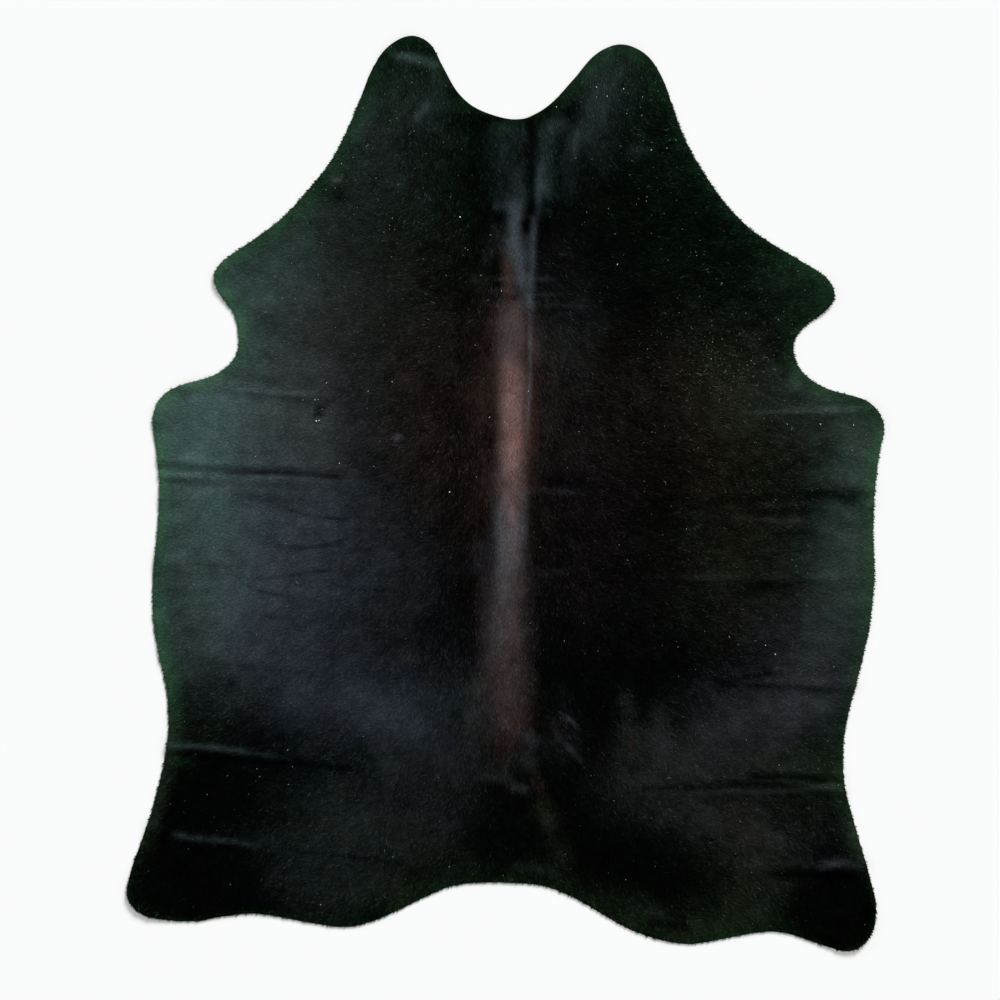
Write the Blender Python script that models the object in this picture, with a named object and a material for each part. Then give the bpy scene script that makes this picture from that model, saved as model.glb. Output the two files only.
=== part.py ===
# A whole hair-on cowhide, tanned and cut for the floor, lying flat with its coat up.
#
# The hide is a single skin, so it is a single solid: one even sheet whose outline is the
# animal's skin opened along the belly. The neck and its two cheeks point to +Y, the rump to
# -Y, and the fore and hind legs stick out to both sides. The flesh side rests on z = 0.
# Where the hide was once folded for storage it keeps soft ridges and troughs, which run in
# from its edges and fade towards the spine, and the tips of its legs curl up a little.

import math
from collections import namedtuple

import bpy
from mathutils import Vector
from mathutils.geometry import delaunay_2d_cdt

# Driving sizes, in metres.
HIDE_LENGTH = 2.130         # cheeks to hind legs, a seven foot hide
HIDE_THICKNESS = 0.0045     # 2.5 mm of leather under a coat that lies 2 mm deep

# How closely the shape is followed.
OUTLINE_STEP = 0.024        # between points along the cut edge
FIELD_STEP = 0.062          # between points on the open skin
FOLD_STEP = 0.034           # between points along a fold
FOLD_ROWS = (-1.7, -0.9, 0.0, 0.9, 1.7)     # rows beside a fold's line, in its half widths
EDGE_CLEARANCE = 0.017      # from the cut edge to the nearest inner point
POINT_CLEARANCE = 0.020     # between inner points
FLAT_BELOW = 0.0002         # a rise smaller than this lies flat
SAME_POINT = 1e-6           # points closer than this are one
TRIANGLES_INSIDE = 1        # the triangulation keeps only what the outline holds

# Colour and finish of the coat.
COAT_COLOUR = (0.012, 0.010, 0.010, 1.0)
COAT_ROUGHNESS = 0.55

# The cut edge, clockwise from the dip of the nape, as the hide lies: metres to the right of
# the spine and metres forward of the middle. A smooth closed curve runs through these places.
OUTLINE = (
    ("dip of the nape", 0.030, 0.871),
    ("right cheek, foot", 0.094, 0.901),
    ("right cheek, inner side", 0.154, 0.963),
    ("right cheek, rise", 0.208, 1.023),
    ("right cheek, top", 0.265, 1.045),
    ("right cheek, shoulder", 0.325, 1.021),
    ("right cheek, outer side", 0.363, 0.967),
    ("right neck, upper", 0.386, 0.903),
    ("right neck, middle", 0.416, 0.823),
    ("right neck, lower", 0.452, 0.758),
    ("right shoulder, upper", 0.505, 0.681),
    ("right shoulder, lower", 0.564, 0.619),
    ("right foreleg, root", 0.627, 0.576),
    ("right foreleg, front", 0.694, 0.536),
    ("right foreleg, upper corner", 0.747, 0.499),
    ("right foreleg, tip", 0.763, 0.457),
    ("right foreleg, lower corner", 0.741, 0.423),
    ("right foreleg, back", 0.696, 0.390),
    ("right armpit, upper", 0.671, 0.357),
    ("right armpit, lower", 0.670, 0.320),
    ("right brisket, inner", 0.693, 0.278),
    ("right brisket, outer", 0.741, 0.247),
    ("right flank, upper corner", 0.844, 0.212),
    ("right flank, widest", 0.877, 0.163),
    ("right flank, below the corner", 0.867, 0.089),
    ("right belly, upper", 0.857, 0.008),
    ("right belly, middle", 0.853, -0.086),
    ("right belly, lower", 0.856, -0.190),
    ("right belly, last", 0.847, -0.292),
    ("right groin, upper", 0.828, -0.386),
    ("right groin, lower", 0.790, -0.537),
    ("right waist", 0.783, -0.609),
    ("right thigh, upper", 0.787, -0.680),
    ("right thigh, lower", 0.805, -0.750),
    ("right shank", 0.848, -0.902),
    ("right hind leg, side", 0.860, -0.958),
    ("right hind leg, outer corner", 0.852, -1.016),
    ("right hind leg, tip", 0.827, -1.051),
    ("right hind leg, inner corner", 0.791, -1.065),
    ("right hind leg, inner side", 0.747, -1.055),
    ("right rump, dip", 0.625, -1.020),
    ("right rump, outer lobe", 0.484, -1.040),
    ("right rump, lowest", 0.427, -1.049),
    ("right rump, inner lobe", 0.357, -1.039),
    ("right rump, rise", 0.279, -1.011),
    ("right buttock", 0.154, -0.940),
    ("tail, right side", 0.086, -0.914),
    ("tail, middle", 0.009, -0.906),
    ("tail, left side", -0.061, -0.906),
    ("left buttock, inner", -0.131, -0.915),
    ("left buttock, outer", -0.248, -0.968),
    ("left rump, rise", -0.307, -0.994),
    ("left rump, lowest", -0.375, -1.009),
    ("left rump, outer lobe", -0.446, -1.001),
    ("left rump, dip", -0.584, -0.978),
    ("left hind leg, inner side", -0.655, -0.984),
    ("left hind leg, inner corner", -0.724, -0.995),
    ("left hind leg, under side", -0.794, -0.992),
    ("left hind leg, outer corner", -0.851, -0.977),
    ("left hind leg, tip", -0.882, -0.939),
    ("left hind leg, side", -0.877, -0.889),
    ("left shank", -0.827, -0.741),
    ("left thigh", -0.790, -0.585),
    ("left waist", -0.787, -0.516),
    ("left groin, lower", -0.791, -0.459),
    ("left groin, upper", -0.809, -0.376),
    ("left belly, last", -0.822, -0.297),
    ("left belly, lower", -0.823, -0.202),
    ("left belly, middle", -0.809, -0.039),
    ("left belly, upper", -0.809, 0.043),
    ("left flank, below the corner", -0.817, 0.113),
    ("left flank, widest", -0.823, 0.171),
    ("left flank, upper corner", -0.811, 0.213),
    ("left flank, top", -0.780, 0.243),
    ("left brisket", -0.679, 0.277),
    ("left armpit, lower", -0.643, 0.303),
    ("left armpit, middle", -0.626, 0.334),
    ("left armpit, upper", -0.624, 0.368),
    ("left foreleg, back", -0.637, 0.420),
    ("left foreleg, lower corner", -0.666, 0.459),
    ("left foreleg, tip", -0.681, 0.501),
    ("left foreleg, upper corner", -0.669, 0.532),
    ("left foreleg, front", -0.631, 0.563),
    ("left foreleg, root", -0.579, 0.598),
    ("left shoulder, lower", -0.519, 0.645),
    ("left shoulder, upper", -0.461, 0.708),
    ("left neck, lower", -0.408, 0.776),
    ("left neck, middle", -0.374, 0.840),
    ("left neck, upper", -0.344, 0.911),
    ("left cheek, outer side", -0.310, 0.994),
    ("left cheek, shoulder", -0.272, 1.043),
    ("left cheek, top", -0.221, 1.065),
    ("left cheek, rise", -0.178, 1.047),
    ("left cheek, inner side", -0.146, 0.991),
    ("left cheek, foot", -0.112, 0.933),
    ("nape, left side", -0.070, 0.897),
)

# The folds that storage left in the hide. A ridge rises to its height on its line. A trough's
# line stays down between two swells of that height, each a half width away. The run starts at
# the edge, or at the stronger end, and the fold fades out over the share of it given last.
Fold = namedtuple("Fold", "place kind height half_width fade run")
FOLDS = (
    Fold("left shoulder", "ridge", 0.008, 0.016, 0.55,
         ((-0.745, 0.246), (-0.677, 0.256), (-0.584, 0.249), (-0.479, 0.235), (-0.398, 0.232))),
    Fold("left belly, upper", "trough", 0.005, 0.017, 0.60,
         ((-0.812, 0.060), (-0.668, 0.051), (-0.520, 0.046), (-0.375, 0.037), (-0.293, 0.030))),
    Fold("left belly, lower", "ridge", 0.004, 0.022, 0.70,
         ((-0.808, -0.014), (-0.666, -0.006), (-0.540, -0.010), (-0.410, -0.020))),
    Fold("left loin", "ridge", 0.004, 0.026, 0.75,
         ((-0.826, -0.150), (-0.735, -0.165), (-0.631, -0.175))),
    Fold("left groin", "ridge", 0.003, 0.024, 0.70,
         ((-0.812, -0.372), (-0.735, -0.377), (-0.572, -0.389), (-0.386, -0.417))),
    Fold("left thigh", "ridge", 0.008, 0.016, 0.60,
         ((-0.795, -0.584), (-0.677, -0.596), (-0.596, -0.603), (-0.491, -0.612),
          (-0.375, -0.631), (-0.282, -0.635))),
    Fold("left shank", "ridge", 0.007, 0.015, 0.60,
         ((-0.846, -0.778), (-0.777, -0.791), (-0.735, -0.803), (-0.642, -0.812),
          (-0.538, -0.833), (-0.363, -0.857), (-0.247, -0.873))),
    Fold("right shoulder", "ridge", 0.007, 0.017, 0.60,
         ((0.855, 0.200), (0.824, 0.195), (0.731, 0.191), (0.614, 0.191), (0.500, 0.198))),
    Fold("right belly, upper", "trough", 0.006, 0.018, 0.55,
         ((0.860, -0.010), (0.770, -0.010), (0.645, -0.012), (0.500, -0.028), (0.335, -0.040))),
    Fold("right loin", "ridge", 0.005, 0.015, 0.60,
         ((0.858, -0.198), (0.770, -0.200), (0.686, -0.196), (0.500, -0.194), (0.335, -0.194))),
    Fold("right groin, upper", "ridge", 0.004, 0.016, 0.80,
         ((0.606, -0.410), (0.545, -0.417), (0.475, -0.430))),
    Fold("right groin, lower", "ridge", 0.006, 0.017, 0.60,
         ((0.812, -0.450), (0.720, -0.446), (0.610, -0.440), (0.510, -0.440))),
    Fold("right thigh", "trough", 0.006, 0.016, 0.55,
         ((0.793, -0.676), (0.754, -0.672), (0.649, -0.660), (0.570, -0.667), (0.510, -0.680),
          (0.390, -0.686), (0.268, -0.688))),
    Fold("right shank", "ridge", 0.008, 0.016, 0.60,
         ((0.836, -0.862), (0.760, -0.866), (0.663, -0.872), (0.560, -0.878), (0.470, -0.880))),
    Fold("nape", "trough", 0.005, 0.016, 0.60,
         ((0.045, 0.872), (0.063, 0.800), (0.064, 0.720), (0.060, 0.640))),
    Fold("left cheek", "ridge", 0.004, 0.014, 0.70,
         ((-0.292, 1.020), (-0.223, 1.017), (-0.172, 1.006))),
    Fold("root of the tail", "ridge", 0.003, 0.018, 0.60,
         ((-0.086, -0.680), (-0.020, -0.700), (0.045, -0.697), (0.085, -0.675))),
)

# Where the cut edge curls up off the floor: the place, how far it reaches and how high it is.
Curl = namedtuple("Curl", "place x y reach height")
CURLS = (
    Curl("right cheek", 0.290, 1.055, 0.110, 0.005),
    Curl("left cheek", -0.235, 1.075, 0.110, 0.005),
    Curl("right foreleg", 0.780, 0.455, 0.110, 0.006),
    Curl("left foreleg", -0.695, 0.505, 0.110, 0.005),
    Curl("right hind leg", 0.850, -1.070, 0.150, 0.007),
    Curl("left hind leg", -0.890, -0.965, 0.150, 0.006),
    Curl("right flank", 0.890, 0.180, 0.100, 0.004),
    Curl("left flank", -0.835, 0.200, 0.100, 0.004),
)


def clear_scene():
    """Removes the objects that a new scene comes with."""
    for old in list(bpy.data.objects):
        bpy.data.objects.remove(old, do_unlink=True)


def curve_point(before, start, end, after, part):
    """A point on the smooth curve from start to end, whose neighbours are before and after."""
    k0 = 0.0
    k1 = k0 + math.sqrt((start - before).length)
    k2 = k1 + math.sqrt((end - start).length)
    k3 = k2 + math.sqrt((after - end).length)
    k = k1 + (k2 - k1) * part
    a1 = before.lerp(start, (k - k0) / (k1 - k0))
    a2 = start.lerp(end, (k - k1) / (k2 - k1))
    a3 = end.lerp(after, (k - k2) / (k3 - k2))
    b1 = a1.lerp(a2, (k - k0) / (k2 - k0))
    b2 = a2.lerp(a3, (k - k1) / (k3 - k1))
    return b1.lerp(b2, (k - k1) / (k2 - k1))


def even_steps(line, step, closed):
    """The same line with its points set evenly, about one step apart."""
    ends = line + [line[0]] if closed else line
    lengths = [0.0]
    for here, there in zip(ends, ends[1:]):
        lengths.append(lengths[-1] + (there - here).length)
    count = max(2, round(lengths[-1] / step))
    points = []
    piece = 0
    for index in range(count if closed else count + 1):
        target = lengths[-1] * index / count
        while piece < len(ends) - 2 and lengths[piece + 1] < target:
            piece += 1
        share = (target - lengths[piece]) / (lengths[piece + 1] - lengths[piece])
        points.append(ends[piece].lerp(ends[piece + 1], min(1.0, share)))
    return points


def smooth_line(places, step, closed=False, finer=12):
    """A smooth curve through the places, as points about one step apart."""
    knots = [Vector(place) for place in places]
    if closed:
        knots = [knots[-1]] + knots + knots[:2]
    else:
        knots = [2 * knots[0] - knots[1]] + knots + [2 * knots[-1] - knots[-2]]
    line = []
    for before, start, end, after in zip(knots, knots[1:], knots[2:], knots[3:]):
        line += [curve_point(before, start, end, after, i / finer) for i in range(finer)]
    if not closed:
        line.append(knots[-2])
    return even_steps(line, step, closed)


def beside(line, distance):
    """The line moved sideways to its left by the distance."""
    moved = []
    for index, point in enumerate(line):
        ahead = line[min(index + 1, len(line) - 1)] - line[max(index - 1, 0)]
        moved.append(point + Vector((-ahead.y, ahead.x)).normalized() * distance)
    return moved


def nearest_on(line, point):
    """How far the point is from the line, and how far along it, from 0 to 1, that is."""
    best = (math.inf, 0.0)
    for index, (start, end) in enumerate(zip(line, line[1:])):
        along = end - start
        share = max(0.0, min(1.0, (point - start).dot(along) / along.length_squared))
        distance = (point - start - along * share).length
        best = min(best, (distance, (index + share) / (len(line) - 1)))
    return best


def ease(value):
    """A soft step from 0 to 1."""
    value = max(0.0, min(1.0, value))
    return value * value * (3.0 - 2.0 * value)


def fold_rise(fold, line, point):
    """How high this fold lifts the skin at the point."""
    distance, along = nearest_on(line, point)
    across = distance / fold.half_width
    if across > 3.0:
        return 0.0
    if fold.kind == "ridge":
        profile = math.exp(-across * across)
    else:
        profile = across * across * math.exp(1.0 - across * across)
    waver = 1.0 + 0.18 * math.sin(17.0 * along + 40.0 * fold.height / fold.half_width)
    return fold.height * waver * profile * ease((1.0 - along) / fold.fade)


def curl_rise(curl, middle, point):
    """How high this curl lifts the skin at the point."""
    return curl.height * ease(1.0 - (point - middle).length / curl.reach)


def skin_height(point, folds, curls):
    """Height of the flesh side above the floor: 0 where the hide lies flat."""
    rise = math.hypot(*(fold_rise(fold, line, point) for fold, line in folds))
    rise += sum(curl_rise(curl, middle, point) for curl, middle in curls)
    return rise if rise > FLAT_BELOW else 0.0


def inside(point, loop):
    """Whether the point lies within the closed loop."""
    found = False
    for here, there in zip(loop, loop[1:] + loop[:1]):
        if (here.y > point.y) != (there.y > point.y):
            crossing = here.x + (there.x - here.x) * (point.y - here.y) / (there.y - here.y)
            found ^= point.x < crossing
    return found


def inner_points(loop, folds):
    """Points inside the outline: rows beside every fold, then an even field on the rest."""
    kept = []

    def add(point, clearance):
        clear_of_edge = min((point - edge).length for edge in loop) > EDGE_CLEARANCE
        if clear_of_edge and inside(point, loop):
            if all((point - other).length > clearance for other in kept):
                kept.append(point)

    for fold, line in folds:
        for row in FOLD_ROWS:
            for point in beside(line, row * fold.half_width):
                add(point, min(POINT_CLEARANCE, 0.6 * fold.half_width))
    row_height = FIELD_STEP * math.sqrt(3) / 2
    rows = round(HIDE_LENGTH / row_height)
    for row in range(-rows // 2, rows // 2 + 1):
        for column in range(-rows // 2, rows // 2 + 1):
            shift = 0.5 * (row % 2)
            add(Vector(((column + shift) * FIELD_STEP, row * row_height)), 0.6 * FIELD_STEP)
    return kept


def outline_frame():
    """The scale that gives the hide its stated length, and the outline's middle."""
    loop = smooth_line([(x, y) for _, x, y in OUTLINE], OUTLINE_STEP, closed=True)
    low = Vector((min(point.x for point in loop), min(point.y for point in loop)))
    high = Vector((max(point.x for point in loop), max(point.y for point in loop)))
    return HIDE_LENGTH / (high.y - low.y), (low + high) / 2


def coat_material():
    """The black coat, plain."""
    material = bpy.data.materials.new("black coat")
    material.use_nodes = True
    shader = material.node_tree.nodes["Principled BSDF"]
    shader.inputs["Base Color"].default_value = COAT_COLOUR
    shader.inputs["Roughness"].default_value = COAT_ROUGHNESS
    shader.inputs["Metallic"].default_value = 0.0
    return material


def make_hide():
    """The flesh side as one triangulated surface, thickened upwards to the top of the coat."""
    scale, middle = outline_frame()

    def placed(x, y):
        return (Vector((x, y)) - middle) * scale

    loop = smooth_line([placed(x, y) for _, x, y in OUTLINE], OUTLINE_STEP, closed=True)
    folds = [(fold, smooth_line([placed(x, y) for x, y in fold.run], FOLD_STEP)) for fold in FOLDS]
    curls = [(curl, placed(curl.x, curl.y)) for curl in CURLS]
    points = loop + inner_points(loop, folds)
    rim = list(range(len(loop)))[::-1]
    flat, _, faces, *_ = delaunay_2d_cdt(points, [], [rim], TRIANGLES_INSIDE, SAME_POINT)
    surface = [(point.x, point.y, skin_height(point, folds, curls)) for point in flat]
    mesh = bpy.data.meshes.new("hide")
    mesh.from_pydata(surface, [], faces)
    mesh.shade_smooth()
    mesh.materials.append(coat_material())
    hide = bpy.data.objects.new("hide", mesh)
    bpy.context.scene.collection.objects.link(hide)
    skin = hide.modifiers.new("thickness of hide and coat", "SOLIDIFY")
    skin.thickness = HIDE_THICKNESS
    skin.offset = 1.0
    return hide


clear_scene()
make_hide()
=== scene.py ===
# %% [markdown]
# # A hair-on cowhide, spread flat
#
# A floor hide is one animal's skin, tanned with its coat on and trimmed round the edge. Three
# things make it look real: the soft folds that storage left in the leather, the short hair that
# lies the way it grew, and a colour that drifts from black to bottle green and chestnut, with a
# painted steel sheen.
# The imported model gives the true outline and thickness, and everything below is fitted to it.

# %% The imported model
import math

import bmesh
import bpy
import numpy as np
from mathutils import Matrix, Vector
from mathutils.geometry import delaunay_2d_cdt


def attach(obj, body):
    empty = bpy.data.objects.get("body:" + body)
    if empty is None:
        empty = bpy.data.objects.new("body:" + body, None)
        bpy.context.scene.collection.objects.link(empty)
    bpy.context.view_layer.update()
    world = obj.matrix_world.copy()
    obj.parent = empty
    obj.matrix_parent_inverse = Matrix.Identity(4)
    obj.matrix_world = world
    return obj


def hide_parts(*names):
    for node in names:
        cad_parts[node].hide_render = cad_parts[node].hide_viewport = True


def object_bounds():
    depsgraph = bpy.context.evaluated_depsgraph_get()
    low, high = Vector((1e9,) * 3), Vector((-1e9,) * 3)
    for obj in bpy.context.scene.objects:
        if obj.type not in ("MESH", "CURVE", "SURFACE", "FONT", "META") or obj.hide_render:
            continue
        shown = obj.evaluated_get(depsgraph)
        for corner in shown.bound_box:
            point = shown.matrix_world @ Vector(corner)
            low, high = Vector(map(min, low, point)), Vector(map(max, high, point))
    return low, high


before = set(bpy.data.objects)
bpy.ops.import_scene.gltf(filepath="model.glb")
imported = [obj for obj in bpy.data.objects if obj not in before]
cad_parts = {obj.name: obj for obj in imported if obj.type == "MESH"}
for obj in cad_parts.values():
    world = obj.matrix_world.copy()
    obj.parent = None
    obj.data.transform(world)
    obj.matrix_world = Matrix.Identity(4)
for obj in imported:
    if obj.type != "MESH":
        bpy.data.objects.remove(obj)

BODY = "root"
NODE = "hide"
cad_low, cad_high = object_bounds()
length = cad_high.y - cad_low.y
width = cad_high.x - cad_low.x
print(f"the model is {width:.3f} m wide, {length:.3f} m long and {cad_high.z * 1000:.1f} mm high")

# %% [markdown]
# ## The camera
#
# The hide is pictured from straight above, so the camera hangs over it and looks down. A long
# lens from high up keeps the outline free of perspective. The photograph's frame is square, and
# four pixel places, where the hide's box touches it, say how large and how central it is.

# %% Camera straight above
PHOTO_SIDE = 1000.0
PHOTO_LEFT, PHOTO_RIGHT = 127.2, 883.3
PHOTO_TOP, PHOTO_BOTTOM = 35.7, 951.0
CAMERA_HEIGHT = 5.5
SENSOR = 36.0

pixel = length / (PHOTO_BOTTOM - PHOTO_TOP)
view_x = (PHOTO_SIDE - PHOTO_LEFT - PHOTO_RIGHT) / 2 * pixel + (cad_low.x + cad_high.x) / 2
view_y = (PHOTO_TOP + PHOTO_BOTTOM - PHOTO_SIDE) / 2 * pixel + (cad_low.y + cad_high.y) / 2
scene = bpy.context.scene


def put(name, data):
    """A new object in the scene."""
    made = bpy.data.objects.new(name, data)
    scene.collection.objects.link(made)
    return made


camera = put("camera above", bpy.data.cameras.new("camera above"))
camera.data.sensor_width = SENSOR
camera.data.lens = SENSOR * CAMERA_HEIGHT / (PHOTO_SIDE * pixel)
camera.data.dof.use_dof = False
camera.location = (view_x, view_y, CAMERA_HEIGHT)
scene.camera = camera
print(f"one pixel of the photograph is {pixel * 1000:.3f} mm, the lens is {camera.data.lens:.1f} mm")

# %% [markdown]
# ## The light
#
# The ridges of the folds are light on the side of the neck and dark on the side of the rump.
# One wide, low lamp beyond the neck does that. It is a sun lamp, because a sun lights every part
# of a large hide alike, and its wide angle softens the shadows. A pale sky fills the rest.

# %% Lamp and sky
KEY_HEIGHT = 4.0
KEY_ELEVATION = math.radians(27.0)
KEY_BEARING = math.radians(66.0)        # from +X towards +Y
KEY_ANGLE = math.radians(20.0)
KEY_STRENGTH = 3.3
SKY_COLOUR = (0.985, 0.99, 1.0, 1.0)
SKY_STRENGTH = 0.60

lamp_data = bpy.data.lights.new("wide low light", "SUN")
lamp_data.angle = KEY_ANGLE
lamp_data.energy = KEY_STRENGTH
lamp = put("wide low light", lamp_data)
lamp.location = KEY_HEIGHT * Vector((math.cos(KEY_BEARING) / math.tan(KEY_ELEVATION),
                                     math.sin(KEY_BEARING) / math.tan(KEY_ELEVATION), 1.0))
lamp.rotation_euler = (-lamp.location).to_track_quat("-Z", "Y").to_euler()
sky = bpy.data.worlds.new("pale studio")
sky.use_nodes = True
sky.node_tree.nodes["Background"].inputs["Color"].default_value = SKY_COLOUR
sky.node_tree.nodes["Background"].inputs["Strength"].default_value = SKY_STRENGTH
scene.world = sky
scene.view_settings.view_transform = "Standard"
print(f"the lamp stands {math.degrees(KEY_ELEVATION):.0f} degrees over the floor")

# %% [markdown]
# ## Small helpers for nodes
#
# Every material and every geometry tree below is wired by the same few short functions. One makes
# a node and feeds its inputs, each with a link or a plain value, and one opens a new node group
# with named sockets. Named sockets are what makes a group readable when someone reuses it.

# %% Node helpers
def add(tree, kind, feeds=None, **settings):
    """A new node of this kind, with its settings made and its inputs fed."""
    made = tree.nodes.new(kind)
    for name, value in settings.items():
        setattr(made, name, value)
    for name, source in (feeds or {}).items():
        feed(made, name, source)
    return made


def socket(node, name, outgoing=False):
    """The node's shown socket of that name, or its socket of that number."""
    sockets = node.outputs if outgoing else node.inputs
    if isinstance(name, int):
        return sockets[name]
    return next(shown for shown in sockets if shown.enabled and shown.name == name)


def feed(node, name, source):
    """Links the source to the node's input, or sets a plain value there."""
    target = socket(node, name)
    if isinstance(source, bpy.types.NodeSocket):
        node.id_data.links.new(source, target)
    else:
        target.default_value = source


def open_group(name, kind, inputs, outputs):
    """A node group with these named sockets, each a (name, type, value), and its two ends."""
    group = bpy.data.node_groups.new(name, kind)
    for way, rows in (("INPUT", inputs), ("OUTPUT", outputs)):
        for label, form, value in rows:
            made = group.interface.new_socket(label, in_out=way, socket_type=form)
            if value is not None:
                made.default_value = value
    return group, add(group, "NodeGroupInput"), add(group, "NodeGroupOutput")


def maths(tree, operation, first, second):
    """The result of a sum on two values or sockets."""
    return add(tree, "ShaderNodeMath", {0: first, 1: second}, operation=operation).outputs[0]


def noise(tree, scale, detail=2.0):
    """A noise that stays on its object when that moves."""
    place = add(tree, "ShaderNodeTexCoord").outputs["Object"]
    made = add(tree, "ShaderNodeTexNoise", {"Vector": place, "Scale": scale, "Detail": detail})
    return made.outputs["Fac"]


def blend(tree, factor, tones):
    """A colour between two tones."""
    values = {"Factor": factor, "A": tones[0], "B": tones[1]}
    made = add(tree, "ShaderNodeMix", values, data_type="RGBA")
    return socket(made, "Result", outgoing=True)


def own_colour(tree):
    """The colour that a piece carries at each of its points."""
    return add(tree, "ShaderNodeAttribute", attribute_name="coat").outputs["Color"]


# %% [markdown]
# ## The floor
#
# The hide lies on a plain pale floor. It is only a stage: a wide sheet just under z = 0, matt,
# with a very faint drift in its tone so that it doesn't look like a drawing's white paper.

# %% Floor
FLOOR_SIDE = 90.0
FLOOR_DEPTH = 0.0002
FLOOR_DRIFT = 0.7       # how fine the drift of its tone is
FLOOR_TONES = ((0.895, 0.895, 0.895, 1.0), (0.910, 0.910, 0.910, 1.0))


def plain_material(name, roughness, specular):
    """A material with its own shader, whose plain values are set on the shader's sockets."""
    made = bpy.data.materials.new(name)
    made.use_nodes = True
    shader = made.node_tree.nodes["Principled BSDF"]
    shader.inputs["Roughness"].default_value = roughness
    shader.inputs["Specular IOR Level"].default_value = specular
    return made, made.node_tree, shader


floor_material, tree, shader = plain_material("pale floor", roughness=0.8, specular=0.1)
feed(shader, "Base Color", blend(tree, noise(tree, FLOOR_DRIFT), FLOOR_TONES))

floor_mesh = bpy.data.meshes.new("floor")
half = FLOOR_SIDE / 2
corners = [(x, y, -FLOOR_DEPTH) for x, y in ((-half, -half), (half, -half), (half, half), (-half, half))]
floor_mesh.from_pydata(corners, [], [(0, 1, 2, 3)])
floor_mesh.materials.append(floor_material)
floor = put("floor", floor_mesh)
print(f"the floor is {FLOOR_SIDE:.0f} m wide and lies {FLOOR_DEPTH * 1000:.1f} mm under the hide")

# %% [markdown]
# ## A map of the hide
#
# Height, hair direction and colour all change slowly over the skin, and many pieces need them.
# So they are worked out once, on a fine square map seen from above, with one value for each
# 2.5 mm cell. Any point of any mesh can then read the map at its own place. The map is plain
# numpy: one array of x, one of y, and one for each thing that it tells.

# %% The map and how it is read
CELL = 0.0025
MARGIN = 0.02

cell_x = np.arange(cad_low.x - MARGIN, cad_high.x + MARGIN, CELL)
cell_y = np.arange(cad_low.y - MARGIN, cad_high.y + MARGIN, CELL)
east, north = np.meshgrid(cell_x, cell_y)


def ease(value):
    """A soft step from 0 to 1."""
    value = np.clip(value, 0.0, 1.0)
    return value * value * (3.0 - 2.0 * value)


def window(low_x, high_x, low_y, high_y):
    """The part of the map within a box."""
    return (slice(*np.searchsorted(cell_y, (low_y, high_y))),
            slice(*np.searchsorted(cell_x, (low_x, high_x))))


def between(table, u, v):
    """The table's values at fractional columns u and rows v."""
    i, j = u.astype(int), v.astype(int)
    f, g = u - i, v - j
    if table.ndim == 3:
        f, g = f[..., None], g[..., None]
    low = table[j, i] * (1 - f) + table[j, i + 1] * f
    high = table[j + 1, i] * (1 - f) + table[j + 1, i + 1] * f
    return low * (1 - g) + high * g


def read(layer, x, y):
    """The layer's values at the places x, y."""
    u = np.clip((x - cell_x[0]) / CELL, 0, len(cell_x) - 1.001)
    v = np.clip((y - cell_y[0]) / CELL, 0, len(cell_y) - 1.001)
    return between(layer, u, v)


def clouds(size, seed, octaves=3, fading=0.55):
    """Soft noise from about -1 to 1 all over the map, in clouds of the given size."""
    total = np.zeros(east.shape)
    for octave in range(octaves):
        u = (east - cell_x[0]) / size * 2 ** octave
        v = (north - cell_y[0]) / size * 2 ** octave
        dice = np.random.default_rng((seed, octave))
        table = dice.uniform(-1.0, 1.0, (int(v.max()) + 3, int(u.max()) + 3))
        i, j = u.astype(int), v.astype(int)
        total += fading ** octave * between(table, i + ease(u - i), j + ease(v - j))
    return total


print(f"the map has {len(cell_x)} x {len(cell_y)} cells")

# %% [markdown]
# ## The cut edge
#
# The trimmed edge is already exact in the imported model, so it is read from there and not drawn
# again. A copy of the model's mesh has its doubles merged. The wanted line is where its
# underside meets its walls, and walking from edge to edge gives it in order. The model's points
# are 24 mm apart, and a smooth curve through them rounds the outline off.

# %% Walking round the edge
MERGE = 1e-5
WALL = 0.5              # a face that points up or down less than this is a wall
EDGE_FINER = 4          # new points for each point of the model
TRIM = 0.0012           # the leather ends this far inside, and hair covers the rest


def walk_underside_edge(mesh):
    """The closed line where the underside meets the walls, as an array of x, y."""
    solid = bmesh.new()
    solid.from_mesh(mesh)
    bmesh.ops.remove_doubles(solid, verts=solid.verts, dist=MERGE)
    solid.normal_update()
    beside = {}
    for edge in solid.edges:
        downs = [face.normal.z < -WALL for face in edge.link_faces]
        walls = [abs(face.normal.z) <= WALL for face in edge.link_faces]
        if any(downs) and any(walls):
            first, second = edge.verts
            beside.setdefault(first.index, []).append(second.index)
            beside.setdefault(second.index, []).append(first.index)
    places = {vert.index: (vert.co.x, vert.co.y) for vert in solid.verts}
    solid.free()
    start = min(beside)
    walked = [start, beside[start][0]]
    while walked[-1] != start:
        one, other = beside[walked[-1]]
        walked.append(other if one == walked[-2] else one)
    return np.array([places[index] for index in walked[:-1]])


def round_off(points, finer, closed=False):
    """A smooth curve through the points, with so many steps between each two."""
    points = np.asarray(points, float)
    if closed:
        knots = np.vstack([points[-1:], points, points[:2]])
    else:
        knots = np.vstack([2 * points[0] - points[1], points, 2 * points[-1] - points[-2]])
    before, start, end, after = (knots[k:len(knots) - 3 + k] for k in range(4))
    line = []
    for t in np.arange(finer) / finer:
        line.append(0.5 * (2 * start + (end - before) * t
                           + (2 * before - 5 * start + 4 * end - after) * t * t
                           + (3 * start - before - 3 * end + after) * t ** 3))
    line = np.stack(line, axis=1).reshape(-1, 2)
    return line if closed else np.vstack([line, knots[-2:-1]])


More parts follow.
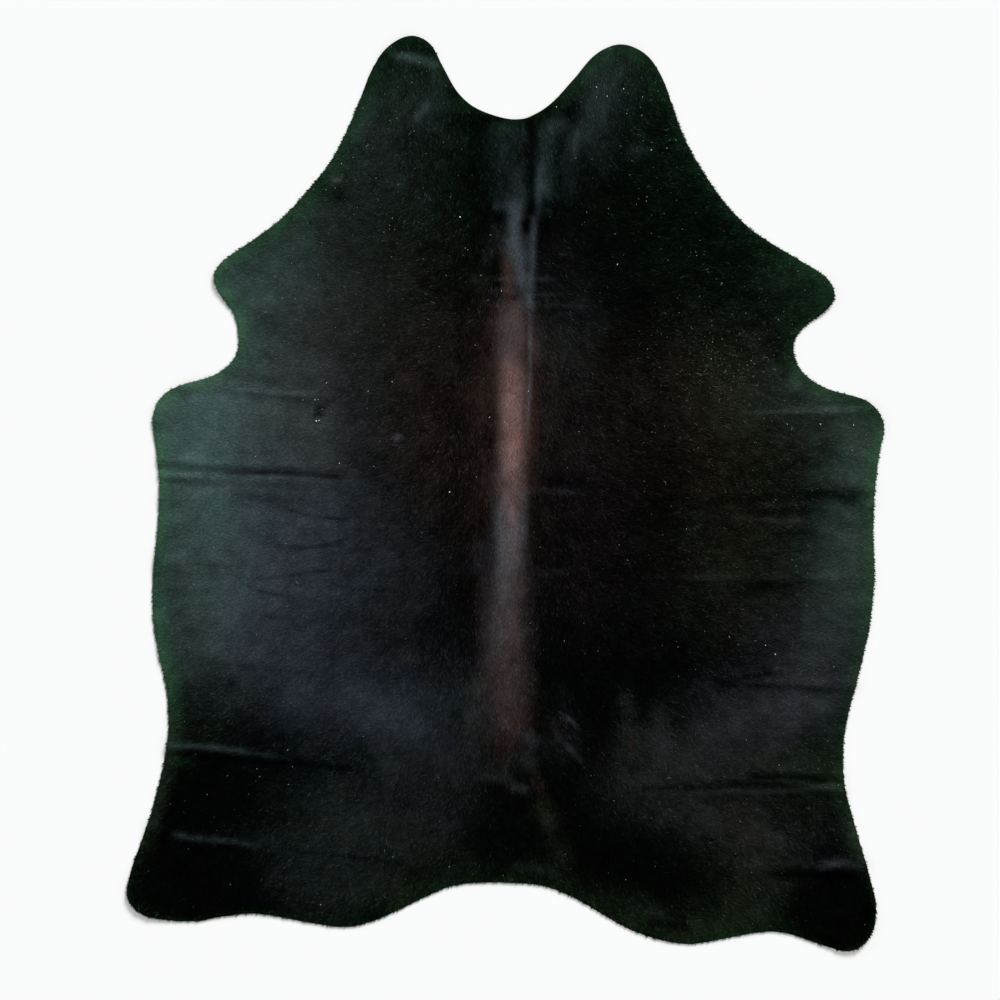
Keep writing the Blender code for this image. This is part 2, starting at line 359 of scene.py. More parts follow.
edge_line = round_off(walk_underside_edge(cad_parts[NODE].data), EDGE_FINER, closed=True)
turning = np.roll(edge_line, -1, axis=0) - np.roll(edge_line, 1, axis=0)
if np.cross(edge_line, np.roll(edge_line, -1, axis=0)).sum() < 0:
    edge_line, turning = edge_line[::-1], -turning[::-1]
turning /= np.hypot(turning[:, 0], turning[:, 1])[:, None]
edge_line = edge_line + TRIM * np.column_stack([-turning[:, 1], turning[:, 0]])
edge_steps = np.hypot(*(np.roll(edge_line, -1, axis=0) - edge_line).T)
print(f"the cut edge is {edge_steps.sum():.2f} m long, in {len(edge_line)} steps")

# %% [markdown]
# ## How far a place is from a line
#
# Folds, creases, hair partings and the edge itself are all lines, and what they do depends on
# how far off a place lies. For each short piece of a line only the cells in its own small
# window are looked at, which keeps even a long line quick.

# %% Distance to a line
def near_line(line, reach):
    """For the cells within reach of the line: how far off it is, and how far along, 0 to 1."""
    far = np.full(east.shape, np.inf)
    along = np.zeros(east.shape)
    for index, (start, end) in enumerate(zip(line[:-1], line[1:])):
        low, high = np.minimum(start, end) - reach, np.maximum(start, end) + reach
        part = window(low[0], high[0], low[1], high[1])
        step = end - start
        x, y = east[part] - start[0], north[part] - start[1]
        share = np.clip((x * step[0] + y * step[1]) / (step @ step), 0.0, 1.0)
        distance = np.hypot(x - share * step[0], y - share * step[1])
        closer = distance < far[part]
        far[part] = np.where(closer, distance, far[part])
        along[part] = np.where(closer, (index + share) / (len(line) - 1), along[part])
    return far, along


DEEP = 0.085            # how far in from the edge its distance is worked out
inside = np.zeros(east.shape, bool)
closed_line = np.vstack([edge_line, edge_line[:1]])
for (ax, ay), (bx, by) in zip(closed_line[:-1], closed_line[1:]):
    for row in range(*sorted(np.searchsorted(cell_y, (ay, by)))):
        inside[row] ^= cell_x > ax + (bx - ax) * (cell_y[row] - ay) / (by - ay)
edge_depth = np.minimum(near_line(closed_line, DEEP)[0], DEEP) * np.where(inside, 1.0, -1.0)
print(f"the hide covers {inside.sum() * CELL * CELL:.3f} square metres")

# %% [markdown]
# ## The folds
#
# The hide was kept folded, and it shows: soft ridges and troughs run in from its sides and fade
# towards the spine, and the tips of the legs curl. These are the same folds as the packed
# model's, so the skin here lies exactly where it does there. Each row names its place, and all
# places in the tables are in millimetres to the right of the spine and forward of the middle.

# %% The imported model's folds
SPINE = np.array((0.0031, -0.0003))     # where the rows' zero lies in the model
PER_METRE = 1000        # the rows are in millimetres
RUN_FINER = 10          # steps between two points of a run
REACH = 3               # how many half widths away a fold or a stroke still counts
FAR = 4.0               # and where its profile is cut off
WAVER = 0.18            # the share by which a fold's height wavers
WAVER_SPEED = 17        # how fast it does, and what makes each fold start elsewhere
WAVER_START = 40

FOLDS = (       # place, kind, height, half width, the share of the run it fades over, run
    ("left shoulder", "ridge", 8, 16, 0.55,
     ((-745, 246), (-677, 256), (-584, 249), (-479, 235), (-398, 232))),
    ("left belly, upper", "trough", 5, 17, 0.6,
     ((-812, 60), (-668, 51), (-520, 46), (-375, 37), (-293, 30))),
    ("left belly, lower", "ridge", 4, 22, 0.7, ((-808, -14), (-666, -6), (-540, -10), (-410, -20))),
    ("left loin", "ridge", 4, 26, 0.75, ((-826, -150), (-735, -165), (-631, -175))),
    ("left groin", "ridge", 3, 24, 0.7, ((-812, -372), (-735, -377), (-572, -389), (-386, -417))),
    ("left thigh", "ridge", 8, 16, 0.6,
     ((-795, -584), (-677, -596), (-596, -603), (-491, -612), (-375, -631), (-282, -635))),
    ("left shank", "ridge", 7, 15, 0.6,
     ((-846, -778), (-777, -791), (-735, -803), (-642, -812), (-538, -833), (-363, -857),
      (-247, -873))),
    ("right shoulder", "ridge", 7, 17, 0.6, ((855, 200), (824, 195), (731, 191), (614, 191), (500, 198))),
    ("right belly, upper", "trough", 6, 18, 0.55,
     ((860, -10), (770, -10), (645, -12), (500, -28), (335, -40))),
    ("right loin", "ridge", 5, 15, 0.6,
     ((858, -198), (770, -200), (686, -196), (500, -194), (335, -194))),
    ("right groin, upper", "ridge", 4, 16, 0.8, ((606, -410), (545, -417), (475, -430))),
    ("right groin, lower", "ridge", 6, 17, 0.6, ((812, -450), (720, -446), (610, -440), (510, -440))),
    ("right thigh", "trough", 6, 16, 0.55,
     ((793, -676), (754, -672), (649, -660), (570, -667), (510, -680), (390, -686), (268, -688))),
    ("right shank", "ridge", 8, 16, 0.6,
     ((836, -862), (760, -866), (663, -872), (560, -878), (470, -880))),
    ("nape", "trough", 5, 16, 0.6, ((45, 872), (63, 800), (64, 720), (60, 640))),
    ("left cheek", "ridge", 4, 14, 0.7, ((-292, 1020), (-223, 1017), (-172, 1006))),
    ("root of the tail", "ridge", 3, 18, 0.6, ((-86, -680), (-20, -700), (45, -697), (85, -675))),
)
CURLS = (       # place, x, y, reach, height
    ("right cheek", 290, 1055, 110, 5),
    ("left cheek", -235, 1075, 110, 5),
    ("right foreleg", 780, 455, 110, 6),
    ("left foreleg", -695, 505, 110, 5),
    ("right hind leg", 850, -1070, 150, 7),
    ("left hind leg", -890, -965, 150, 6),
    ("right flank", 890, 180, 100, 4),
    ("left flank", -835, 200, 100, 4),
)


def run_line(run):
    """A smooth line on the map through a row's points."""
    return round_off(np.array(run) / PER_METRE + SPINE, RUN_FINER)


rise_squared = np.zeros(east.shape)
for place, kind, height, half_width, fade, run in FOLDS:
    height, half_width = height / PER_METRE, half_width / PER_METRE
    far, along = near_line(run_line(run), REACH * half_width)
    across = np.minimum(far / half_width, FAR)
    profile = np.exp(-across ** 2) if kind == "ridge" else across ** 2 * np.exp(1 - across ** 2)
    waver = 1 + WAVER * np.sin(WAVER_SPEED * along + WAVER_START * height / half_width)
    rise_squared += (height * waver * profile * ease((1 - along) / fade)) ** 2
flesh_height = np.sqrt(rise_squared)
for place, x, y, reach, height in CURLS:
    x, y = np.array((x, y)) / PER_METRE + SPINE
    flesh_height += height / PER_METRE * ease(1 - np.hypot(east - x, north - y) / (reach / PER_METRE))
highest = flesh_height[inside].max() * PER_METRE
print(f"{len(FOLDS)} folds and {len(CURLS)} curls lift it by up to {highest:.1f} mm")

# %% [markdown]
# ## Wrinkles and creases
#
# Between the folds the skin has finer lines: wrinkles on the belly, faint creases in the loins
# and the groin, and a scar. They are too slight to lift the whole hide, so only the top of the
# coat dips there, by a millimetre or so. The hair parts in a wrinkle, where it stands shorter,
# and the colour there is darkened as painted shade: each row also says by what share.

# %% Fine lines in the top
LEATHER = 0.0025        # thickness of the tanned skin without its hair
PARTING_WIDTH = 6       # how far from a crease the hair is short enough to show it

WRINKLES = (    # place, rise, half width, shade, fade at the start and end, run
    ("left belly 1", -1.0, 2.8, 0.72, 0.1, 0.3,
     ((-526, -30), (-480, -46), (-447, -54), (-387, -59), (-301, -64))),
    ("left belly 2", -1.0, 2.8, 0.62, 0.2, 0.3, ((-568, -116), (-485, -126), (-410, -118), (-364, -109))),
    ("left belly 3", -1.0, 2.6, 0.5, 0.2, 0.3, ((-510, -132), (-436, -126), (-366, -117))),
    ("left belly 4", -1.0, 2.8, 0.62, 0.2, 0.3, ((-592, -200), (-510, -193), (-441, -182), (-375, -176))),
    ("left belly 5", -1.0, 2.8, 0.68, 0.2, 0.3, ((-612, -213), (-559, -231), (-473, -246))),
    ("left belly 6", -1.0, 2.8, 0.68, 0.2, 0.3, ((-578, -276), (-536, -290), (-452, -290))),
    ("left belly 7", -1.0, 2.8, 0.68, 0.2, 0.3, ((-422, -202), (-380, -218), (-345, -230))),
    ("left belly 8", -1.0, 2.8, 0.6, 0.2, 0.3, ((-366, -223), (-312, -225), (-243, -224))),
    ("left belly 9", -0.8, 3.5, 0.25, 0.3, 0.4, ((-794, -169), (-713, -165), (-631, -174))),
    ("left groin", -0.7, 4.0, 0.2, 0.3, 0.4, ((-736, -388), (-573, -407), (-387, -428))),
    ("right belly", -0.8, 4.0, 0.25, 0.2, 0.4, ((730, -88), (614, -92), (451, -83))),
    ("right loin", -0.7, 4.0, 0.2, 0.2, 0.4, ((765, -295), (637, -302), (497, -290))),
    ("left belly fold, its end", -1.6, 4.0, 0.0, 0.3, 0.3, ((-619, 49), (-480, 42), (-326, 33))),
    ("scar", -1.2, 5.0, 0.0, 0.1, 0.1, ((-440, 210), (-440, 177))),
    ("left belly 10", -1.0, 2.4, 0.45, 0.2, 0.3, ((-380, -132), (-337, -132), (-291, -124))),
    ("left belly 11", -0.8, 2.4, 0.45, 0.3, 0.4, ((-515, -301), (-461, -314), (-405, -325))),
    ("left belly 12", -0.8, 2.4, 0.45, 0.3, 0.4, ((-410, -115), (-359, -105))),
    ("left belly 13", -1.0, 2.4, 0.4, 0.3, 0.3, ((-375, -81), (-326, -88), (-275, -90))),
)


def stroke_mask(run, half_width, fade_in, fade_out, firmness=1.0):
    """A soft line on the map, from 0 beside it to 1 on it, which fades out towards its ends."""
    half_width = half_width / PER_METRE
    far, along = near_line(run_line(run), REACH * half_width)
    mask = np.exp(-np.minimum(far / half_width, FAR) ** (2 * firmness))
    return mask * ease(along / fade_in) * ease((1 - along) / fade_out)


def part_hair(run, fade_in, fade_out):
    """Widens the map's parting by a crease."""
    np.maximum(parting, stroke_mask(run, PARTING_WIDTH, fade_in, fade_out), out=parting)


top_height = flesh_height + LEATHER
wrinkle_shade = np.ones(east.shape)
parting = np.zeros(east.shape)
for place, rise, half_width, shade, fade_in, fade_out, run in WRINKLES:
    mask = stroke_mask(run, half_width, fade_in, fade_out)
    top_height += rise / PER_METRE * mask
    # painted shade in the wrinkle
    wrinkle_shade *= 1 - shade * mask
    part_hair(run, fade_in, fade_out)
print(f"{len(WRINKLES)} wrinkles cross the hide")

# %% [markdown]
# ## Which way the hair lies
#
# A cow's coat flows back along the spine, out over the shoulders and down the flanks and legs.
# A few named places say which way it points there. Every cell of the map takes the mean of
# them, weighted by how near they are, and a slow noise turns it a little, because no coat is
# combed as evenly as that. The left half is the right half mirrored.

# %% The comb
COMB_REACH = 0.16
LEAST_WEIGHT = 1e-9     # keeps the mean sound where no place is near
WANDER = 0.22           # the noise that turns the hair, in radians, and the size of its clouds
WANDER_SIZE = 0.09

COMB = (        # place, x, y, and the way the hair points there
    ("nape", 30, 840, 0.0, -1.0),
    ("cheek", 260, 1000, -0.3, -1.0),
    ("neck, inner", 140, 760, -0.2, -1.0),
    ("neck, side", 380, 780, 1.0, 0.0),
    ("crest", 30, 600, 0.0, -1.0),
    ("crest, side", 180, 600, 1.0, 0.1),
    ("shoulder, inner", 220, 450, 1.0, 0.0),
    ("shoulder", 420, 520, 1.0, -0.1),
    ("foreleg", 680, 470, 1.0, -0.1),
    ("armpit", 580, 330, 1.0, -0.2),
    ("withers", 20, 300, 0.05, -1.0),
    ("ribs, upper", 250, 250, 1.0, -0.35),
    ("flank corner", 820, 170, 1.0, -0.2),
    ("ribs, side", 550, 120, 1.0, -0.2),
    ("back", 20, 0, 0.05, -1.0),
    ("ribs, lower", 250, -50, 1.0, -0.3),
    ("belly", 750, -120, 1.0, -0.3),
    ("loin", 20, -350, 0.05, -1.0),
    ("loin, side", 300, -400, 0.75, -0.6),
    ("groin", 700, -450, 0.9, -0.4),
    ("thigh", 500, -700, 0.85, -0.5),
    ("hind leg", 780, -950, 0.6, -0.7),
    ("rump", 150, -800, 0.5, -0.85),
    ("rump, edge", 420, -1000, 0.6, -0.7),
)

comb = np.zeros(east.shape + (2,))
for side in (1, -1):
    for place, x, y, way_x, way_y in COMB:
        x, y = np.array((x * side, y)) / PER_METRE + SPINE
        near = np.exp(-((east - x) ** 2 + (north - y) ** 2) / COMB_REACH ** 2) + LEAST_WEIGHT
        comb += near[..., None] * np.array((way_x * side, way_y)) / math.hypot(way_x, way_y)
bearing = np.arctan2(comb[..., 1], comb[..., 0]) + WANDER * clouds(WANDER_SIZE, 31)
comb = np.stack([np.cos(bearing), np.sin(bearing)], axis=-1)
print(f"{2 * len(COMB)} places comb the coat")


def combed(noise, span):
    """The noise drawn out along the hair, over about that span."""
    total = noise.copy()
    for way in (CELL, -CELL):
        x, y = east, north
        for step in range(round(span / 2 / CELL)):
            ahead = read(comb, x, y)
            x, y = x + way * ahead[..., 0], y + way * ahead[..., 1]
            total += read(noise, x, y)
    total -= total.mean()
    return total / total.std()


# %% [markdown]
# ## The colour of the coat
#
# Seen from afar the coat is black. Some stretches of hair have a tone of their own: bottle green
# towards the trimmed edge, brown over the ribs, and a chestnut stripe on the spine. The steel
# and grey on the flanks is painted sheen, the light that the lying hair gives back. A painter
# would lay thin washes over black, and that is what happens here. A wash is a soft oval that
# adds its tint. A slow noise moves its border, so that it doesn't look like an ellipse. The tints
# are in linear light, as Blender's shaders take them.

# %% Tints, and how a wash is laid
BLACK = np.array((0.0004, 0.0006, 0.0005))
# steel, slate, frost, dusk, pewter and smoke are painted sheen and highlights, the rest the hair's own
# tones
TINTS = {
    "steel": (0.044, 0.074, 0.071),
    "slate": (0.030, 0.035, 0.041),
    "smoke": (0.030, 0.033, 0.032),
    "bottle": (0.016, 0.044, 0.024),
    "umber": (0.034, 0.021, 0.018),
    "olive": (0.028, 0.031, 0.019),
    "plum": (0.022, 0.016, 0.019),
    "chestnut": (0.160, 0.078, 0.067),
    "frost": (0.050, 0.060, 0.070),
    "dusk": (0.029, 0.036, 0.046),
    "pewter": (0.042, 0.070, 0.058),
    "mauve": (0.068, 0.049, 0.050),
    "moss": (0.012, 0.036, 0.019),
    "rust": (0.034, 0.015, 0.011),
    "sage": (0.024, 0.036, 0.022),
}
BORDER_DRIFT = 0.020    # how far the noise moves a border, and the size of its clouds
DRIFT_SIZE = 0.10
OVAL_REACH = 2.6        # how many half lengths away a wash ends, and some room for the drift
OVAL_ROOM = 0.05

drift_x = BORDER_DRIFT * clouds(DRIFT_SIZE, 5)
drift_y = BORDER_DRIFT * clouds(DRIFT_SIZE, 6)


def wash_mask(x, y, half_length, half_width, turn=0, firmness=1.0):
    """A soft oval on the map, turned anticlockwise, and the part of the map that it is on."""
    x, y = np.array((x, y)) / PER_METRE + SPINE
    half_length, half_width = half_length / PER_METRE, half_width / PER_METRE
    reach = OVAL_REACH * max(half_length, half_width) + OVAL_ROOM
    part = window(x - reach, x + reach, y - reach, y + reach)
    dx, dy = east[part] + drift_x[part] - x, north[part] + drift_y[part] - y
    turn = math.radians(turn)
    u = (dx * math.cos(turn) + dy * math.sin(turn)) / half_length
    v = (dy * math.cos(turn) - dx * math.sin(turn)) / half_width
    return part, np.exp(-(u * u + v * v) ** firmness)[..., None]


def lay_washes(coat, rows, cover):
    """Adds the tint of each row's oval to the coat, as far as the cover lets it."""
    for place, tint, strength, *oval in rows:
        part, mask = wash_mask(*oval)
        coat[part] += strength * cover[part] * mask * TINTS[tint]
    print(f"{len(rows)} washes, from the {rows[0][0]} to the {rows[-1][0]}")


coat = np.ones(east.shape + (3,)) * BLACK
everywhere = np.ones(east.shape + (1,))     # a cover that lets all of a wash through

# %% [markdown]
# ## Washes of the left side
#
# Most of the colour, and most of the painted sheen, is on the left. Broad steel and dusk washes
# paint the sheen that makes its flank and belly blue and grey, thinner ones lie on the shoulder,
# the neck and the cheek, and the haunch stays almost black. A row gives the tint and its
# strength, the oval's middle, half its length and half its width. The turn in degrees and the
# firmness of the border follow where they aren't 0 and 1.

# %% Washes, left
LEFT_WASHES = (
    ("flank", "steel", 0.8, -771, 147, 244, 144, 90, 1.2),
    ("flank, wide", "steel", 0.36, -654, 124, 291, 154, 90),
    ("brisket", "steel", 0.22, -608, 322, 116, 105),
    ("belly", "steel", 0.48, -724, -237, 186, 128, 90, 1.1),
    ("side", "dusk", 0.66, -503, -120, 291, 172, 90, 1.2),
    ("side, back", "slate", 0.2, -270, -202, 174, 98, 90),
    ("side, front", "smoke", 0.3, -445, 136, 163, 140, 90),
    ("side, inner", "umber", 0.17, -205, 194, 302, 102, 90),
    ("side, along the spine", "plum", 0.05, -119, -62, 209, 70, 90),
    ("foreleg", "steel", 0.46, -596, 491, 154, 102, 35),
    ("shoulder", "smoke", 0.42, -480, 345, 209, 140, 70),
    ("shoulder, upper", "smoke", 0.14, -398, 612, 163, 116, 60),
    ("withers", "smoke", 0.09, -270, 450, 209, 128, 90),
    ("neck side", "bottle", 0.24, -498, 617, 200, 70, 50),
    ("neck, green", "bottle", 0.065, -247, 706, 326, 209, 80, 1.3),
    ("neck side, pale", "steel", 0.1, -375, 787, 93, 37, 60),
    ("cheek", "bottle", 0.16, -266, 961, 128, 98, 85),
    ("cheek, haze", "slate", 0.08, -247, 857, 105, 70, 60),
    ("loin", "dusk", 0.24, -480, -434, 174, 93, -12),
    ("loin, inner", "dusk", 0.44, -282, -504, 144, 88, -20),
    ("loin, along the spine", "slate", 0.08, -140, -434, 93, 60, 70),
    ("loin, last", "slate", 0.14, -166, -597, 93, 93, 90),
    ("haunch", "smoke", 0.11, -391, -830, 163, 140, 0, 2.0),
    ("haunch, inner", "smoke", 0.11, -189, -714, 112, 186, 90, 1.6),
    ("haunch, teal", "steel", 0.058, -387, -772, 209, 163, 0, 1.2),
    ("cheek, inner", "steel", 0.11, -168, 957, 79, 33, 90),
    ("groin, green", "sage", 0.2, -759, -407, 98, 37, 90),
    ("thigh, upper", "sage", 0.14, -724, -569, 93, 33),
    ("flank, top", "steel", 0.3, -740, 215, 65, 21),
    ("belly, haze", "steel", 0.13, -671, -46, 65, 23),
    ("loin, upper", "dusk", 0.17, -550, -337, 107, 60),
    ("belly, inner", "slate", 0.12, -619, -248, 70, 56, 90),
    ("rump, edge", "sage", 0.12, -236, -937, 121, 51),
    ("neck, haze", "slate", 0.1, -282, 780, 144, 93, 60),
    ("neck, blue haze", "steel", 0.1, -480, 631, 70, 42, 40),
)
lay_washes(coat, LEFT_WASHES, everywhere)

# %% [markdown]
# ## Washes of the right side
#
# The right side is browner and greener than the left one: olive and umber over the ribs and sage
# over the haunch and rump, with painted sheen in pewter on the flank and belly, slate in the
# groin, and smoke over the haunch.

# %% Washes, right
RIGHT_WASHES = (
    ("cheek", "bottle", 0.17, 276, 996, 105, 88, 60),
    ("cheek, haze", "slate", 0.21, 232, 952, 102, 47, 80),
    ("neck, green", "bottle", 0.035, 311, 706, 279, 163, -60, 1.3),
    ("withers", "smoke", 0.16, 130, 345, 198, 84, 90),
    ("ribs", "umber", 0.09, 346, 194, 163, 186, 90),
    ("ribs, outer", "olive", 0.26, 555, 229, 128, 174, 60),
    ("ribs, lower", "olive", 0.15, 544, -109, 209, 140, 90),
    ("ribs, haze", "smoke", 0.03, 509, -248, 209, 116),
    ("plum", "plum", 0.12, 183, -62, 256, 128, 90),
    ("foreleg", "bottle", 0.26, 683, 485, 93, 88, -30),
    ("foreleg, green", "bottle", 0.035, 544, 519, 186, 140, -30, 1.2),
    ("flank, top", "pewter", 0.34, 721, 226, 102, 65),
    ("flank", "pewter", 0.52, 828, 101, 128, 93, 90),
    ("belly", "pewter", 0.51, 811, -155, 181, 107, 90, 1.1),
    ("groin", "slate", 0.3, 707, -365, 128, 112, 60),
    ("loin", "slate", 0.5, 642, -500, 158, 79, 8),
    ("haunch", "smoke", 0.36, 439, -616, 154, 84, 12),
    ("haunch, outer", "sage", 0.26, 718, -649, 116, 70),
    ("haunch, lower", "smoke", 0.18, 562, -797, 121, 79, -50),
    ("rump", "sage", 0.22, 562, -928, 93, 107),
    ("rump, edge", "sage", 0.2, 404, -1005, 174, 51, -5),
    ("shank", "smoke", 0.11, 725, -788, 107, 56),
    ("groin, outer", "slate", 0.1, 800, -407, 93, 60),
    ("haunch, inner", "smoke", 0.19, 323, -586, 63, 51),
    ("cheek, middle", "steel", 0.07, 218, 822, 79, 42, 80),
    ("cheek, teal", "steel", 0.07, 265, 966, 60, 60),
    ("haunch, brown", "umber", 0.07, 555, -783, 107, 65, -40),
    ("withers, brown", "umber", 0.1, 102, 275, 116, 28, 90),
    ("groin, green", "sage", 0.08, 697, -360, 93, 70, 60),
    ("haunch, left part", "smoke", 0.17, 414, -739, 107, 56, -20),
    ("neck, upper green", "bottle", 0.07, 346, 822, 93, 56, -60),
    ("buttock haze", "smoke", 0.05, 334, -756, 93, 47),
)
lay_washes(coat, RIGHT_WASHES, everywhere)

# %% [markdown]
# ## Washes along the middle
#
# The back is dark. It has only small washes: brown beside the stripe, rust where the stripe
# ends with a little painted blue sheen beside it, and painted grey sheen and sage round the tail.

# %% Washes, middle
MIDDLE_WASHES = (
    ("brown beside the spine", "umber", 0.23, -56, 212, 79, 28, 90),
    ("rust at the end of the spine", "rust", 0.16, -15, -579, 56, 30, 80, 1.2),
    # painted blue sheen on a few hairs
    ("blue hair at the end of the spine", "frost", 0.2, 44, -579, 21, 14, -25, 1.2),
    ("tail, above", "smoke", 0.08, -33, -649, 70, 28, 0, 1.2),
    ("loin, right of the tail", "smoke", 0.12, 116, -558, 60, 33, 90),
    ("rump, edge", "sage", 0.09, 125, -914, 209, 47, -15),
    ("rump, left of the tail", "sage", 0.08, -140, -849, 60, 70, 90),
)
lay_washes(coat, MIDDLE_WASHES, everywhere)

# %% [markdown]
# ## The darkest places
#
# The hind legs, the right buttock and the root of the tail are the blackest hair of this hide.
# Washes only add light, so these ovals take it away again: each draws the coat back towards
# black by its strength. They come after every wash, so that no wash is left on top of them.

# %% Shades
SHADES = (      # place, strength, middle, half length, half width, turn, firmness
    ("left hind leg, thigh", 0.72, -694, -658, 177, 121, -8, 2.0),
    ("left hind leg", 0.97, -750, -914, 172, 135, 0, 3.0),
    ("right buttock", 0.74, 346, -863, 181, 79, -18, 1.4),
    ("tail root", 0.8, -15, -783, 105, 93, 90, 1.6),
    ("right hind leg", 0.8, 742, -958, 116, 98, 90, 1.8),
    ("left belly, outer", 0.16, -736, -225, 107, 33, 90),
    ("right belly, below the crease", 0.3, 781, -86, 79, 33),
    ("left side, about the fold", 0.24, -447, 54, 121, 65, 0, 1.2),
)
for place, strength, *oval in SHADES:
    part, mask = wash_mask(*oval)
    coat[part] += strength * mask * (BLACK - coat[part])
print(f"{len(SHADES)} shades darken the coat")

# %% [markdown]
# ## How a stroke is laid
#
# Narrow marks follow lines: the stripe on the spine, the painted sheen of single locks, a
# painted highlight on the crest of a fold and painted shade beside it. A stroke is a soft line
# through a few points that fades in and out. A tint adds its colour or painted light, and a
# shade takes a share of the tone away, as painted shade where it lies by a fold or in a crease,
# so the order of the rows counts where the two meet. A thin shade is a crease, and the hair
# parts there as well.

# %% Strokes
STROKE_WAVER = 0.12     # the share by which a noise changes a stroke, and the size of its clouds
STROKE_WAVER_SIZE = 0.03
STRONGEST = 1.2
DARKEST = 0.05          # a shade leaves at least this share of the tone
THIN = 10               # a narrower shade only shows where the hair is short
SOFTNESS = (1.0, 0.3, 0.3)      # firmness and the two fades of a row that doesn't give its own

uneven = 1 + STROKE_WAVER * clouds(STROKE_WAVER_SIZE, 12)


def lay_strokes(coat, rows):
    """Draws the rows: place, tint, strength, half width, run and, if it isn't the usual, softness."""
    for place, tint, strength, half_width, run, *softness in rows:
        firmness, fade_in, fade_out = softness or SOFTNESS
        mask = stroke_mask(run, half_width, fade_in, fade_out, firmness)
        mask = strength * np.clip(uneven * mask, 0.0, STRONGEST)[..., None]
        # a shade darkens the tone, and by the folds and in the creases this is painted shade
        if tint == "shade":
            coat *= np.maximum(1 - mask, DARKEST)
        else:
            coat += mask * TINTS[tint]
        if tint == "shade" and half_width < THIN:
            part_hair(run, fade_in, fade_out)
    print(f"{len(rows)} strokes, from the {rows[0][0]} to the {rows[-1][0]}")


# %% [markdown]
# ## Strokes along the spine
#
# The chestnut stripe is the eye-catcher. It is laid as many strokes of chestnut, mauve and rust,
# and of pale hair in painted sheen, each with a length and an end of its own, because a single
# one would look like tape. A crease across the back has a painted highlight and painted shade.
# Dark patches beside the stripe keep the back black.

# %% Strokes, spine
SPINE_STROKES = (
    ("spine", "chestnut", 0.45, 26.8,
     ((11, 329), (12, 275), (12, 217), (12, 124), (13, -27)), 1.2, 0.25, 0.3),
    ("spine, mauve", "mauve", 0.83, 30.2,
     ((13, 468), (13, 357), (11, 217), (11, 77), (13, -62), (15, -202), (11, -341)), 1.4, 0.08, 0.5),
    ("spine, rust", "mauve", 0.42, 51.2,
     ((2, -109), (-1, -248), (-1, -388), (4, -481), (4, -656)), 1.3, 0.25, 0.3),
    ("spine, wash", "umber", 0.28, 69.8,
     ((4, 519), (-1, 333), (-5, 170), (-5, -16), (-3, -248)), 1.0, 0.2, 0.3),
    ("spine, lavender", "frost", 0.28, 25.6,
     ((2, 89), (-3, -16), (-3, -144), (-8, -248), (-29, -353), (-49, -458)), 1.1, 0.3, 0.3),
    ("spine, cross crease", "frost", 0.17, 4.7, ((34, 10), (90, 8), (148, 3), (218, 1)), 1.0, 0.1, 0.5),
    ("back, cross light", "smoke", 0.1, 9.3, ((51, -188), (102, -186), (176, -174)), 1.0, 0.2, 0.4),
    ("back, cross shade", "shade", 0.55, 16.3, ((62, 35), (125, 31), (218, 26))),
    ("spine, pale end", "frost", 0.3, 18.6,
     ((18, -11), (23, -86), (25, -155), (23, -213)), 1.1, 0.3, 0.3),
    ("spine, pale end 2", "mauve", 0.2, 16.3, ((16, -248), (16, -318), (16, -388)), 1.1, 0.3, 0.3),
    ("stripe, right edge", "rust", 0.45, 16.3,
     ((55, 426), (58, 333), (55, 240), (55, 124), (51, 89)), 1.0, 0.2, 0.2),
    ("spine, core", "chestnut", 0.19, 23.3, ((11, 189), (13, 101), (13, 8), (16, -81)), 1.2, 0.25, 0.55),
    ("spine, pale left", "frost", 0.42, 14,
     ((-15, -6), (-15, -86), (-10, -155), (-10, -213)), 1.1, 0.3, 0.3),
    ("spine, thin core", "chestnut", 0.12, 14, ((13, 31), (13, -86), (11, -225)), 1.1, 0.3, 0.5),
    ("spine, pale right", "frost", 0.28, 10.5,
     ((41, 22), (41, -27), (39, -86), (34, -127)), 1.1, 0.3, 0.3),
    ("stripe, left haze", "mauve", 0.13, 16.3, ((-17, 422), (-19, 357), (-17, 291))),
    ("stripe, left edge", "shade", 0.52, 18.6, ((-35, 226), (-35, 147), (-38, 35))),
    ("stripe, right haze", "frost", 0.15, 11.6, ((74, 408), (74, 347), (72, 296))),
    ("back, dark", "shade", 0.65, 14, ((158, -211), (181, -213), (209, -213))),
    ("spine, left haze", "slate", 0.2, 18.6, ((-47, -99), (-56, -146), (-84, -197))),
    ("spine, left dark", "shade", 0.42, 16.3, ((-40, -188), (-40, -225), (-42, -267))),
    ("back, dark 2", "shade", 0.6, 16.3, ((190, -174), (218, -174), (246, -174))),
    ("spine, brick", "chestnut", 0.15, 23.3, ((4, 296), (9, 268), (11, 231)), 1.2, 0.3, 0.3),
    ("spine, dip", "shade", 0.14, 27.9, ((-8, 333), (-3, 315), (-1, 296)), 1.2, 0.3, 0.3),
)
lay_strokes(coat, SPINE_STROKES)
